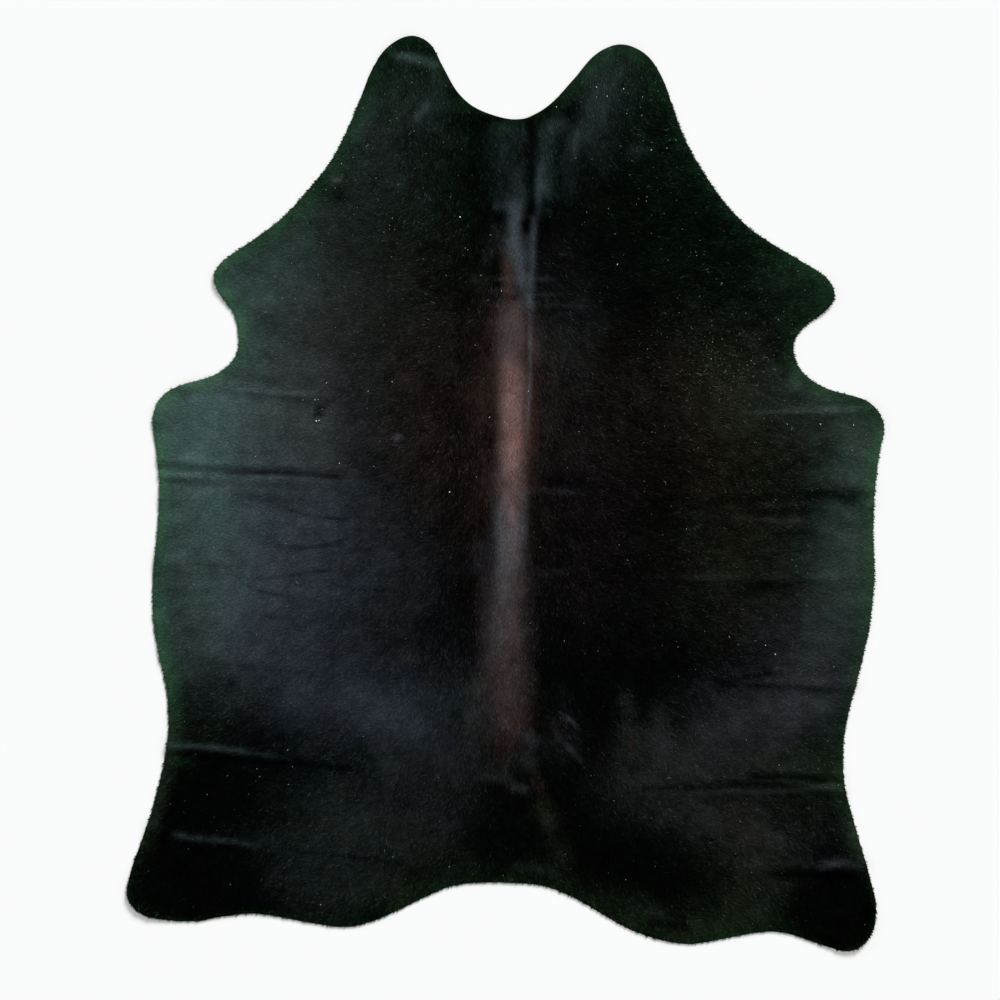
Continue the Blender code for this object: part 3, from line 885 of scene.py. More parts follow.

# %% [markdown]
# ## Strokes over the withers and the nape
#
# In front of the stripe the hair parts. A broad grey lock and a thin bright strand lie over the
# withers, pale hair fans out on the nape to both sides of a narrow groove, and a few short
# scratches run across. The grey and pale tones of the locks and fans are painted sheen, and the
# groove's dark is painted shade.

# %% Strokes, withers and nape
WITHERS_STROKES = (
    # painted sheen on the lock
    ("withers, grey lock", "frost", 0.74, 15.4,
     ((20, 701), (20, 654), (18, 612), (20, 580), (27, 550), (32, 519), (39, 482), (46, 443),
      (51, 398)), 1.3, 0.1, 0.35),
    ("parting strand", "frost", 0.56, 6.5,
     ((65, 650), (62, 601), (60, 538), (56, 473), (55, 389)), 1.0, 0.08, 0.15),
    ("nape groove", "shade", 0.85, 4.2,
     ((58, 864), (60, 799), (60, 729), (60, 671), (65, 643)), 1.0, 0.05, 0.2),
    ("fan 1", "frost", 0.3, 5.6, ((227, 915), (227, 878), (223, 850)), 1.0, 0.3, 0.4),
    ("fan 2", "frost", 0.24, 5.1, ((169, 859), (162, 817), (148, 757)), 1.0, 0.3, 0.4),
    ("nape, hair edge", "frost", 0.3, 7.9, ((-33, 672), (-15, 668), (13, 667)), 1.0, 0.2, 0.2),
    ("withers, scratch", "frost", 0.3, 2.6,
     ((-54, 503), (-3, 500), (79, 500), (155, 501)), 1.0, 0.2, 0.4),
    ("withers, scratch 2", "frost", 0.5, 2.6, ((-42, 471), (9, 469)), 1.0, 0.2, 0.3),
    ("withers, scratch 3", "frost", 0.34, 2.8, ((116, 557), (155, 555))),
    ("withers, scratch 4", "smoke", 0.3, 2.6, ((55, 464), (151, 461)), 1.0, 0.2, 0.4),
    ("nape, left haze", "steel", 0.1, 41.9, ((2, 873), (2, 664)), 1.5, 0.1, 0.1),
    ("nape, left of the groove", "steel", 0.12, 16.3, ((27, 787), (30, 729), (27, 673)), 1.3, 0.4, 0.1),
    ("nape, right of the groove", "steel", 0.25, 20.9,
     ((125, 901), (99, 845), (90, 799), (90, 729), (86, 664)), 1.3, 0.35, 0.15),
    ("nape, right fan", "steel", 0.17, 27.9,
     ((227, 966), (195, 878), (153, 799), (130, 710)), 1.2, 0.2, 0.4),
    ("nape, hair edge 2", "steel", 0.16, 5.1, ((79, 657), (109, 657)), 1.0, 0.2, 0.3),
    ("withers, reddish side", "mauve", 0.26, 14, ((-3, 547), (6, 505), (9, 450)), 1.2, 0.2, 0.2),
    ("withers, rust", "rust", 0.42, 14, ((-1, 589), (4, 515), (4, 475), (4, 436)), 1.2, 0.2, 0.3),
    ("withers, between", "frost", 0.34, 11.6, ((46, 617), (49, 566), (48, 515)), 1.0, 0.3, 0.4),
    ("withers, left of the lock", "smoke", 0.16, 18.6, ((-17, 636), (-29, 578), (-52, 519))),
    ("nape, strand", "frost", 0.34, 7, ((83, 789), (76, 747), (74, 687), (74, 626)), 1.0, 0.3, 0.2),
    ("nape, top", "bottle", 0.14, 14, ((-42, 864), (-3, 852), (48, 854))),
    ("nape, top right", "steel", 0.2, 14, ((92, 852), (120, 857), (151, 861))),
    ("fan 3", "shade", 0.45, 5.6, ((139, 827), (125, 794), (116, 747)), 1.0, 0.3, 0.4),
    ("nape, by the groove", "steel", 0.22, 9.3, ((39, 715), (39, 673), (41, 631)), 1.0, 0.3, 0.2),
    ("withers, grey lock, left", "frost", 0.3, 14, ((2, 608), (4, 566), (13, 524)), 1.2, 0.3, 0.3),
    ("parting strand, tip", "frost", 0.66, 3.5,
     ((55, 422), (55, 357), (55, 291), (53, 236), (48, 147), (46, 87)), 1.0, 0.1, 0.35),
    ("nape, far streak", "slate", 0.14, 11.6, ((269, 775), (302, 794), (334, 815))),
    ("withers, scratch 5", "frost", 0.26, 2.3,
     ((-75, 445), (4, 441), (125, 438), (227, 436)), 1.0, 0.2, 0.4),
    ("withers, gap", "shade", 0.55, 9.3, ((44, 673), (46, 636), (46, 589))),
    ("withers, grey lock, bright", "frost", 0.24, 9.3, ((27, 566), (34, 533), (41, 491))),
    ("withers, far left", "smoke", 0.12, 20.9, ((-98, 501), (-61, 494), (-29, 487))),
    ("nape, right fan, foot", "steel", 0.07, 20.9, ((148, 775), (144, 720), (139, 659))),
    ("nape, under the edge", "steel", 0.1, 18.6, ((9, 831), (32, 831), (48, 829))),
)
lay_strokes(coat, WITHERS_STROKES)

# %% [markdown]
# ## Strokes round the tail
#
# The stripe breaks up above the tail, in tan hair and a small arc of painted highlight and
# painted shade over the fold at the tail's root, and painted shade in its hollows. Beside it a
# few single hairs of the loin catch the light in painted highlights.

# %% Strokes, tail
TAIL_STROKES = (
    ("tail arc, shade", "shade", 0.7, 11.6, ((-68, -676), (-29, -683), (-3, -693)), 1.2, 0.2, 0.3),
    ("tail arc, light", "smoke", 0.5, 9.3, ((4, -679), (32, -686), (55, -695)), 1.2, 0.2, 0.3),
    ("tail edge, light", "smoke", 0.13, 8.4, ((-15, -870), (51, -872), (125, -884))),
    ("loin, hair stroke", "frost", 0.34, 3.7, ((120, -509), (144, -525), (174, -553)), 1.0, 0.2, 0.3),
    ("loin, hair stroke 2", "frost", 0.36, 3.7, ((130, -579), (155, -600), (181, -632)), 1.0, 0.2, 0.3),
    ("loin, hair stroke 3", "smoke", 0.18, 7, ((106, -546), (125, -574), (153, -607)), 1.0, 0.2, 0.3),
    ("tail, hole", "shade", 0.5, 9.3, ((6, -658), (16, -652), (27, -658))),
    ("tail, hollow", "shade", 0.6, 20.9, ((13, -716), (30, -728), (39, -746))),
    ("tail, step light", "smoke", 0.24, 9.3, ((-68, -656), (-15, -660), (23, -665)), 1.2, 0.2, 0.3),
    ("tail, arc", "olive", 0.13, 23.3, ((55, -697), (81, -723), (97, -756), (109, -793)), 1.0, 0.3, 0.4),
    ("tail, below", "sage", 0.1, 27.9, ((97, -783), (120, -830), (148, -881))),
    ("tail, tan", "smoke", 0.2, 18.6, ((48, -583), (53, -621), (55, -658)), 1.2, 0.2, 0.3),
    ("stripe, left foot", "smoke", 0.27, 25.6,
     ((-68, -407), (-77, -481), (-84, -562), (-91, -625)), 1.0, 0.2, 0.2),
    ("tail, arc, bright hair", "olive", 0.13, 7.4, ((72, -728), (86, -749), (99, -774)), 1.0, 0.3, 0.4),
    ("tail, right of it", "umber", 0.15, 16.3, ((65, -644), (72, -672), (79, -700))),
    ("tail, arc, lower", "smoke", 0.13, 18.6, ((102, -746), (106, -770), (111, -793))),
    ("loin, dark", "shade", 0.5, 18.6, ((139, -528), (144, -546), (148, -565))),
    ("rump, dark", "shade", 0.5, 20.9, ((-145, -844), (-117, -846), (-84, -849))),
    ("spine, end hollow", "shade", 0.3, 23.3, ((-22, -542), (-17, -588), (-8, -630))),
)
lay_strokes(coat, TAIL_STROKES)

# %% [markdown]
# ## Strokes of the left fore part
#
# The shoulder's fold has a painted highlight on its crest and painted shade in the hollows on
# both sides. The scar is a short dark bar, the cheek has a crease across its tip in painted
# shade, and painted sheen and dark patches lie between them.

# %% Strokes, left fore
LEFT_FORE_STROKES = (
    ("shoulder crest", "frost", 0.58, 5.1,
     ((-722, 254), (-654, 245), (-573, 238), (-480, 231), (-405, 224))),
    ("cheek crease", "shade", 0.85, 5.6,
     ((-275, 1027), (-247, 1030), (-219, 1032), (-187, 1032), (-159, 1029)), 1.0, 0.2, 0.15),
    ("side, streak", "frost", 0.14, 4.7, ((-303, 143), (-284, 147), (-268, 152))),
    ("side, blotch", "frost", 1.0, 4.7, ((-263, 130), (-254, 131), (-245, 132)), 1.0, 0.15, 0.15),
    ("cheek, streak", "steel", 0.3, 9.3,
     ((-170, 920), (-191, 896), (-212, 871), (-238, 843)), 1.0, 0.25, 0.4),
    ("cheek, under the crease", "steel", 0.6, 9.3,
     ((-275, 1017), (-243, 1015), (-205, 1009), (-173, 999), (-154, 985)), 1.0, 0.2, 0.2),
    ("scar", "shade", 0.85, 10.7, ((-433, 208), (-436, 191), (-438, 175)), 1.8, 0.1, 0.1),
    ("shoulder, shade", "shade", 0.25, 7,
     ((-631, 233), (-550, 226), (-457, 217), (-364, 208)), 1.0, 0.2, 0.3),
    ("side, cross shade", "shade", 0.3, 16.3, ((-340, 77), (-201, 77), (-49, 77))),
    ("cheek, pale edge", "steel", 0.14, 20.9, ((-303, 948), (-315, 901), (-331, 854), (-354, 803))),
    ("neck, dark patch", "shade", 0.55, 25.6, ((-447, 687), (-398, 694), (-350, 696)), 1.2, 0.3, 0.3),
    ("neck, tuft", "frost", 0.8, 4.2, ((-410, 726), (-396, 729), (-382, 732)), 1.0, 0.2, 0.2),
    ("shoulder, hollow", "shade", 0.5, 16.3, ((-685, 280), (-596, 268), (-498, 250))),
    ("foreleg, bright", "steel", 0.22, 23.3, ((-661, 487), (-638, 473), (-610, 459))),
    ("foreleg, inner", "shade", 0.33, 25.6, ((-596, 417), (-554, 408), (-517, 389))),
    ("shoulder, light", "steel", 0.17, 16.3, ((-601, 347), (-564, 345), (-517, 343))),
    ("side, over the scar", "shade", 0.25, 18.6, ((-447, 273), (-410, 270), (-373, 268))),
    ("cheek, hollow", "shade", 0.45, 20.9, ((-252, 868), (-229, 868), (-205, 868))),
    ("cheek, inner light", "bottle", 0.14, 20.9, ((-117, 929), (-117, 906), (-117, 878))),
    ("foreleg, inner light", "steel", 0.11, 18.6, ((-512, 422), (-489, 422), (-461, 417))),
)
lay_strokes(coat, LEFT_FORE_STROKES)

# %% [markdown]
# ## Strokes of the left hind part
#
# Here each fold has its strokes, a painted highlight on the crest and painted shade behind it.
# They are strongest at the flank and fade towards the spine, as the folds themselves do. Soft
# patches of painted sheen and of dark lie between them.

# %% Strokes, left hind
LEFT_HIND_STROKES = (
    ("belly, shade", "shade", 0.66, 5.1,
     ((-806, 60), (-713, 54), (-652, 51), (-540, 48), (-433, 41), (-359, 35)), 1.0, 0.5, 0.1),
    ("belly, light", "steel", 0.22, 5.8, ((-806, 42), (-678, 40)), 1.0, 0.1, 0.6),
    ("belly, shade 2", "shade", 0.24, 5.8, ((-806, 33), (-654, 26)), 1.0, 0.1, 0.5),
    ("belly, hollow", "shade", 0.42, 14,
     ((-657, 8), (-608, -2), (-538, -13), (-373, -27)), 1.0, 0.2, 0.3),
    ("thigh crest", "steel", 0.28, 6,
     ((-794, -583), (-703, -589), (-633, -597), (-568, -607), (-480, -618)), 1.0, 0.08, 0.55),
    ("thigh, shade", "shade", 0.75, 6.5,
     ((-759, -604), (-668, -614), (-587, -621), (-464, -629), (-394, -637),
      (-257, -658)), 1.0, 0.15, 0.2),
    ("shank crest", "steel", 0.2, 6,
     ((-787, -790), (-738, -800), (-682, -806), (-626, -811), (-580, -821),
      (-533, -830)), 1.0, 0.1, 0.65),
    ("shank, shade", "shade", 0.75, 4.7,
     ((-554, -821), (-480, -832), (-394, -842), (-284, -856), (-177, -870)), 1.0, 0.2, 0.3),
    ("groin, inner green", "moss", 0.27, 18.6, ((-759, -365), (-757, -407), (-752, -448))),
    ("groin, dark", "shade", 0.4, 37.2, ((-731, -444), (-671, -444), (-610, -458)), 1.1, 0.3, 0.3),
    ("thigh crest, end", "steel", 0.22, 7, ((-796, -588), (-768, -590), (-731, -594)), 1.0, 0.03, 0.5),
    ("thigh, edge light", "moss", 0.16, 14, ((-778, -614), (-750, -623), (-713, -632)), 1.0, 0.1, 0.5),
    ("loin, lower", "dusk", 0.2, 34.9, ((-312, -625), (-284, -611), (-257, -593))),
    ("haunch, upper", "dusk", 0.1, 32.6, ((-359, -728), (-340, -732), (-317, -737))),
    ("belly, dark by the rim", "shade", 0.24, 20.9, ((-792, 31), (-787, -16), (-782, -76))),
    ("loin, dark", "shade", 0.24, 30.2, ((-377, -393), (-340, -411), (-308, -434))),
    ("loin, light", "smoke", 0.17, 25.6, ((-247, -351), (-229, -379), (-215, -411))),
    ("thigh, haze", "slate", 0.11, 23.3, ((-485, -583), (-452, -586), (-419, -588))),
)
lay_strokes(coat, LEFT_HIND_STROKES)

# %% [markdown]
# ## Strokes of the right fore part
#
# The right shoulder's crest has a thin steel-blue painted highlight. Below it the belly dips,
# and its trough has a broad soft painted shade, with a thin painted highlight along its lower edge.

# %% Strokes, right fore
RIGHT_FORE_STROKES = (
    ("shoulder crest", "steel", 0.36, 4.4,
     ((842, 191), (730, 191), (614, 189), (532, 187)), 1.0, 0.2, 0.4),
    ("shoulder, shade", "shade", 0.45, 5.1, ((846, 208), (777, 210), (683, 208)), 1.0, 0.2, 0.3),
    ("belly, shade", "shade", 0.68, 32.6, ((865, -9), (753, -2), (644, 10)), 1.8, 0.3, 0.4),
    ("belly, light", "steel", 0.15, 8.1, ((851, -41), (788, -37), (711, -30)), 1.0, 0.1, 0.3),
    ("belly, thin light", "smoke", 0.34, 5.1,
     ((711, -63), (660, -63), (590, -60), (521, -55), (334, -46)), 1.0, 0.15, 0.5),
    ("shoulder, hollow", "shade", 0.3, 18.6, ((548, 224), (637, 219), (735, 217))),
    ("shoulder crest, upper", "steel", 0.2, 4.2,
     ((860, 196), (800, 201), (718, 201), (637, 196)), 1.0, 0.2, 0.4),
    ("armpit, light", "pewter", 0.2, 18.6, ((656, 282), (676, 261), (697, 245))),
    ("ribs, dark", "shade", 0.25, 20.9, ((600, 236), (632, 236), (665, 233))),
)
lay_strokes(coat, RIGHT_FORE_STROKES)

# %% [markdown]
# ## Strokes of the right hind part
#
# Two creases of the groin, in painted shade, run into one, the thigh's valley has painted shade
# with a painted highlight behind it, and fingers of painted sheen reach over the haunch from the
# loin.

# %% Strokes, right hind
RIGHT_HIND_STROKES = (
    ("loin crest", "smoke", 0.2, 4.7, ((686, -193), (497, -195), (334, -193)), 1.0, 0.2, 0.4),
    ("loin, shade", "shade", 0.55, 14, ((718, -213), (614, -216), (521, -209)), 1.2, 0.2, 0.3),
    ("groin, shade", "shade", 0.65, 5.8,
     ((790, -460), (676, -451), (581, -448), (465, -444)), 1.0, 0.2, 0.3),
    ("groin, shade 2", "shade", 0.7, 7,
     ((635, -414), (581, -423), (518, -434), (465, -448)), 1.0, 0.2, 0.3),
    ("thigh valley", "shade", 0.75, 5.6,
     ((688, -680), (609, -675), (539, -679), (469, -683), (334, -683), (251, -679)), 1.0, 0.15, 0.3),
    ("thigh, light", "smoke", 0.42, 5.6,
     ((783, -679), (676, -689), (567, -693), (451, -689)), 1.0, 0.1, 0.5),
    ("shank light", "frost", 0.3, 9.3,
     ((832, -870), (800, -863), (772, -859), (735, -865), (683, -874)), 1.0, 0.1, 0.5),
    ("shank, shade", "shade", 0.85, 10.2,
     ((851, -886), (746, -886), (676, -885), (579, -888)), 1.2, 0.03, 0.3),
    ("haunch, finger", "smoke", 0.16, 18.6, ((269, -434), (281, -504), (293, -593)), 1.0, 0.4, 0.3),
    ("haunch, finger 2", "smoke", 0.18, 16.3, ((346, -467), (355, -528), (367, -597)), 1.0, 0.4, 0.3),
    ("haunch, finger 3", "smoke", 0.11, 11.6, ((451, -416), (479, -458), (502, -509)), 1.0, 0.4, 0.4),
    ("thigh, upper", "shade", 0.75, 5.6,
     ((763, -665), (635, -660), (595, -659), (555, -652)), 1.0, 0.1, 0.2),
    ("rump, dark", "shade", 0.7, 20.9, ((316, -995), (367, -998), (432, -995)), 1.0, 0.2, 0.2),
    ("rump, dark 2", "shade", 0.5, 18.6, ((483, -881), (516, -884), (548, -886))),
    ("haunch, tan", "smoke", 0.2, 25.6, ((595, -811), (628, -809), (660, -807))),
    ("haunch, upper", "smoke", 0.14, 20.9, ((530, -621), (586, -621), (646, -621))),
    ("groin, light", "slate", 0.2, 25.6, ((679, -286), (702, -286), (730, -288))),
    ("loin, outer", "sage", 0.22, 27.9, ((739, -462), (739, -490), (735, -518))),
    ("haunch, by the tail", "umber", 0.2, 20.9, ((279, -583), (293, -583), (311, -586))),
    ("haunch, dark", "shade", 0.4, 18.6, ((674, -770), (702, -770), (735, -772))),
)
lay_strokes(coat, RIGHT_HIND_STROKES)

# %% [markdown]
# ## The rim
#
# Towards the trimmed edge the hair gets shorter and more of its green shows. A thin line of
# green follows the cut itself, and the last 46 mm of the coat lose red and blue. Washes of their
# own, which only the rim takes up, say where it is greenest. The wrinkles' painted shade comes
# last, so that it darkens all of this too.

# %% Green rim
RIM_DEPTH = 0.046
TRIM_DEPTH = 0.012
TRIM_GREEN = 0.08
RIM_HUE = np.array((0.86, 1.17, 0.78))     # how much red, green and blue the rim keeps
EDGE_WASHES = (
    ("left flank", "moss", 0.55, -806, -62, 302, 140, 90, 1.5),
    ("left groin", "moss", 1.0, -782, -400, 140, 105, 90, 1.5),
    ("left foreleg", "moss", 0.95, -654, 473, 163, 140, 60, 1.5),
    ("left neck", "moss", 0.3, -410, 775, 302, 116, 60, 1.5),
    ("right neck", "moss", 0.16, 428, 752, 302, 116, -55, 1.5),
    ("right foreleg", "moss", 0.34, 718, 485, 116, 116, 0, 1.5),
    ("right armpit", "moss", 0.24, 695, 298, 93, 70, 0, 1.5),
    ("right flank", "moss", 0.42, 858, 101, 140, 93, 90, 1.5),
    ("right belly", "moss", 0.3, 846, -248, 209, 93, 90, 1.5),
    ("left thigh", "sage", 0.28, -806, -656, 163, 93, 90, 1.5),
    ("right thigh", "bottle", 0.14, 800, -690, 163, 93, 90, 1.5),
    ("right cheek", "bottle", 0.45, 218, 927, 140, 93, 60, 1.5),
    ("left rump", "bottle", 0.04, -294, -946, 186, 116, 10, 1.5),
    ("left shank", "moss", 0.04, -864, -900, 116, 93, 90, 1.5),
    ("right shank", "sage", 0.34, 837, -793, 93, 79, 90, 1.5),
)

coat += TRIM_GREEN * ease(1 - np.abs(edge_depth) / TRIM_DEPTH)[..., None] * TINTS["bottle"]
rim = ease(1 - edge_depth / RIM_DEPTH)[..., None]
coat *= 1 + rim * (RIM_HUE - 1)
lay_washes(coat, EDGE_WASHES, rim)
# the wrinkles' painted shade
coat *= wrinkle_shade[..., None]

# %% [markdown]
# ## Uneven hair
#
# No stretch of hair keeps one tone. Blotches the size of a palm come from the way the coat was
# brushed, streaks along the hair come from locks that lie a little higher or lower, and a fine
# grain comes from single locks. A pale coat hides these changes and a black one shows them,
# because its own light is so little, so their share grows as the tone gets darker. The blotches
# also lean towards brown or teal. A last mottle changes pale and dark coat alike.

# %% Blotches and streaks
PALE = 0.06             # the tone of the palest coat, which varies the least
LEAST_UNREST = 0.08
MOST_UNREST = 0.38
UNREST_GROWTH = 0.6     # how fast the unrest grows as the tone gets darker
BLOTCH_SIZE = 0.055
STREAK_SIZE = 0.010
STREAK_LENGTH = 0.020
GRAIN, STREAKS, BLOTCHES, LEANING = 1.0, 0.5, 0.5, 0.22      # the shares of each in the unrest
LEANS_TO = (1.0, -0.3, -0.7)
MOST_CHANGE = 2.0
MOTTLE = 0.19           # the share by which the smaller clouds change any tone
MOTTLE_SIZE = 0.045
MOTTLE_FADING = 0.8


def unrest(tones):
    """The share by which these tones vary: small for pale coat, large for black coat."""
    bright = tones.mean(axis=-1, keepdims=True)
    return np.clip(LEAST_UNREST * (PALE / bright) ** UNREST_GROWTH, LEAST_UNREST, MOST_UNREST)


grain = np.random.default_rng(7).normal(size=east.shape)
streaks = combed(clouds(STREAK_SIZE, 8, octaves=2), STREAK_LENGTH)
blotches = clouds(BLOTCH_SIZE, 9)
leaning = clouds(BLOTCH_SIZE, 10)[..., None] * LEANS_TO
share = (GRAIN * grain + STREAKS * streaks + BLOTCHES * blotches)[..., None] + LEANING * leaning
share = unrest(coat) * np.clip(share, -MOST_CHANGE, MOST_CHANGE)
coat *= np.exp(share - share.std(axis=(0, 1)) ** 2 / 2)
coat *= np.exp(MOTTLE * clouds(MOTTLE_SIZE, 13, fading=MOTTLE_FADING))[..., None]
print(f"the coat's tones run from {coat[inside].min():.4f} to {coat[inside].max():.3f}")

# %% [markdown]
# ## The skin
#
# The leather is a sheet with a top, an underside and a narrow cut edge. Points on an even
# field of triangles fill the outline, and a triangulation joins them to its edge. Every point
# is used twice: once at the underside's height and once at the top's. A strip of faces round
# the edge closes the sheet.

# %% Points and faces of the skin
FIELD_STEP = 0.0102
EDGE_CLEARANCE = 0.0045
SAME_POINT = 1e-6
TRIANGLES_INSIDE = 1    # the triangulation's own number for keeping what the edge encloses
TOP, UNDERSIDE, CUT_EDGE = 0, 1, 2      # the slots of the skin's materials

row_height = FIELD_STEP * math.sqrt(3) / 2
rows = np.arange(cad_low.y, cad_high.y, row_height)
field = []
for number, y in enumerate(rows):
    x = np.arange(cad_low.x + 0.5 * FIELD_STEP * (number % 2), cad_high.x, FIELD_STEP)
    field.append(np.column_stack([x, np.full(x.shape, y)]))
field = np.vstack(field)
field = field[read(edge_depth, field[:, 0], field[:, 1]) > EDGE_CLEARANCE]

rim_count = len(edge_line)
flat, _, triangles, *_ = delaunay_2d_cdt(
    [tuple(point) for point in np.vstack([edge_line, field])], [], [list(range(rim_count))],
    TRIANGLES_INSIDE, SAME_POINT)
flat = np.array([tuple(point) for point in flat])
triangles = np.array(triangles)
count = len(flat)


def layer_points(height):
    """The flat points at a layer's height."""
    return np.column_stack([flat, read(height, flat[:, 0], flat[:, 1])])


before = np.arange(rim_count)
after = np.roll(before, -1)
walls = np.column_stack([before, after, after + count, before + count])
points = np.vstack([layer_points(flesh_height), layer_points(top_height)])
faces = triangles[:, ::-1].tolist() + (triangles + count).tolist() + walls.tolist()
skin_mesh = bpy.data.meshes.new("cowhide skin")
skin_mesh.from_pydata(points.tolist(), [], faces)
kinds = np.repeat((UNDERSIDE, TOP, CUT_EDGE), (len(triangles), len(triangles), rim_count))
skin_mesh.polygons.foreach_set("material_index", kinds)
skin_mesh.shade_smooth()
skin = put("cowhide_skin", skin_mesh)
print(f"the skin has {2 * len(triangles) + 2 * rim_count} triangles")

# %% [markdown]
# ## The skin's colour and its flat layout
#
# The skin carries the coat's colour at each point, as an attribute that its material reads. It
# also gets a flat layout, a UV map, as a sewing pattern would lie on a table: the top keeps its
# shape and takes most of the room, the underside lies small beside it, and the edge is cut into
# short strips below that.

# %% Attributes and layout
TOP_SCALE = 0.97 / length
SMALL_SCALE = 0.17 / width
SIDE_COLUMN = 0.825
LAYOUT_MARGIN = 0.01
STRIP_ROWS = 36         # the cut edge lies in so many rows, of this width
STRIP_WIDTH = 0.16
STRIP_LOW, STRIP_HIGH = 0.26, 0.98
STRIP_FILL = 0.7        # the share of a row's height that it takes up


def store_colour(mesh, name, colours):
    """Keeps a colour for every point of the mesh."""
    layer = mesh.color_attributes.new(name, "FLOAT_COLOR", "POINT")
    layer.data.foreach_set("color", np.column_stack([colours, np.ones(len(colours))]).ravel())


def store_layout(mesh, places):
    """Keeps a place on the flat layout for every corner of the mesh's faces."""
    layer = mesh.uv_layers.new(name="OFBake")
    layer.data.foreach_set("uv", np.clip(places, 0.0, 1.0).ravel())


def corner_points(mesh):
    """Which point each face corner is on, and which face it belongs to."""
    points = np.empty(len(mesh.loops), int)
    mesh.loops.foreach_get("vertex_index", points)
    sizes = np.empty(len(mesh.polygons), int)
    mesh.polygons.foreach_get("loop_total", sizes)
    return points, np.repeat(np.arange(len(sizes)), sizes)


tones = read(coat, flat[:, 0], flat[:, 1])
store_colour(skin_mesh, "coat", np.vstack([tones, tones]))
points, faces = corner_points(skin_mesh)
from_corner = flat[points % count] - (cad_low.x, cad_low.y)
places = LAYOUT_MARGIN + TOP_SCALE * from_corner
small = np.array((SIDE_COLUMN, LAYOUT_MARGIN)) + SMALL_SCALE * from_corner
below = kinds[faces] == UNDERSIDE
places[below] = small[below]
wall_corners = np.flatnonzero(kinds[faces] == CUT_EDGE).reshape(-1, 4)
share = np.arange(rim_count) / rim_count * STRIP_ROWS
strip = (STRIP_HIGH - STRIP_LOW) / STRIP_ROWS
left = SIDE_COLUMN + STRIP_WIDTH * (share % 1.0)
step = STRIP_WIDTH * STRIP_ROWS / rim_count
low = STRIP_LOW + strip * np.floor(share)
for corner, (right, up) in enumerate(((0, 0), (1, 0), (1, 1), (0, 1))):
    places[wall_corners[:, corner], 0] = left + right * step
    places[wall_corners[:, corner], 1] = low + up * STRIP_FILL * strip
store_layout(skin_mesh, places)
print(f"the skin's layout has {len(places)} corners")

# %% [markdown]
# ## Shader group: strand tone
#
# Hair isn't one colour. A fine noise changes its tone from strand to strand, and the skin that
# shows between the locks is darker than they are, because little light gets down to it. Hair and
# skin both need this, so it is a group with named inputs. It puts out a colour, a roughness and
# a height for a Bump node, and leaves the shader to the material.

# %% Strand tone
STRAND_DETAIL = 3.0
HAIR_ROUGHNESS = 0.55
ROUGHNESS_CHANGE = 0.3

strand_tone, start, end = open_group(
    "strand tone", "ShaderNodeTree",
    (("Coat", "NodeSocketColor", None), ("Grain", "NodeSocketFloat", 600.0),
     ("Change", "NodeSocketFloat", 0.3), ("Shade", "NodeSocketFloat", 1.0)),
    (("Colour", "NodeSocketColor", None), ("Roughness", "NodeSocketFloat", None),
     ("Height", "NodeSocketFloat", None)))
fine = noise(strand_tone, start.outputs["Grain"], STRAND_DETAIL)
centred = maths(strand_tone, "SUBTRACT", fine, 0.5)
change = maths(strand_tone, "MULTIPLY", centred, start.outputs["Change"])
change_both_ways = maths(strand_tone, "MULTIPLY", change, 2.0)
tone = maths(strand_tone, "ADD", change_both_ways, 1.0)
tone = maths(strand_tone, "MULTIPLY", tone, start.outputs["Shade"])
toned = add(strand_tone, "ShaderNodeVectorMath", {0: start.outputs["Coat"], "Scale": tone},
            operation="SCALE")
rougher = maths(strand_tone, "MULTIPLY", change, ROUGHNESS_CHANGE)
feed(end, "Colour", toned.outputs["Vector"])
feed(end, "Roughness", maths(strand_tone, "ADD", rougher, HAIR_ROUGHNESS))
feed(end, "Height", fine)
print(f"the group {strand_tone.name} has {len(strand_tone.nodes)} nodes")

# %% [markdown]
# ## Materials
#
# The coat's shader is nearly without gloss, because black hair lying flat gives back very
# little light to someone who stands over it. A little sheen brings the soft glow that shows
# when the hide is seen from low down. The underside is plain suede, and the cut edge is leather.

# %% Coat, suede and cut edge
COAT_SPECULAR = 0.004
COAT_SHEEN = 0.005
SHEEN_ROUGHNESS = 0.45
LEATHER_ROUGHNESS = 0.85
LEATHER_SPECULAR = 0.15
RELIEF_DEPTH = 0.0004
NAP_SCALE = 700.0
DRIFT_DETAIL = 5.0
NAP_SHARE = 0.4         # how much of the leather's tone comes from the nap, and not from the drift
SUEDE_TONES = ((0.36, 0.29, 0.22, 1.0), (0.50, 0.43, 0.35, 1.0))
EDGE_TONES = ((0.10, 0.08, 0.065, 1.0), (0.17, 0.14, 0.115, 1.0))


def emboss(tree, shader, height, strength):
    """A fine relief on the surface."""
    values = {"Height": height, "Strength": strength, "Distance": RELIEF_DEPTH}
    relief = add(tree, "ShaderNodeBump", values)
    feed(shader, "Normal", relief.outputs["Normal"])


def coat_material(name, grain, change, shade, bump):
    """Hair or hair-covered skin, which reads its colour from the piece's own attribute."""
    made, tree, shader = plain_material(name, HAIR_ROUGHNESS, COAT_SPECULAR)
    shader.inputs["Sheen Weight"].default_value = COAT_SHEEN
    shader.inputs["Sheen Roughness"].default_value = SHEEN_ROUGHNESS
    values = {"Coat": own_colour(tree), "Grain": grain, "Change": change, "Shade": shade}
    tone = add(tree, "ShaderNodeGroup", values, node_tree=strand_tone)
    feed(shader, "Base Color", tone.outputs["Colour"])
    feed(shader, "Roughness", tone.outputs["Roughness"])
    emboss(tree, shader, tone.outputs["Height"], bump)
    return made


def leather_material(name, tones, scale, bump):
    """Bare leather: a soft two-tone drift and a fine nap."""
    made, tree, shader = plain_material(name, LEATHER_ROUGHNESS, LEATHER_SPECULAR)
    nap = noise(tree, NAP_SCALE)
    nap_part = maths(tree, "MULTIPLY", nap, NAP_SHARE)
    drift_part = maths(tree, "MULTIPLY", noise(tree, scale, DRIFT_DETAIL), 1 - NAP_SHARE)
    feed(shader, "Base Color", blend(tree, maths(tree, "ADD", nap_part, drift_part), tones))
    emboss(tree, shader, nap, bump)
    return made


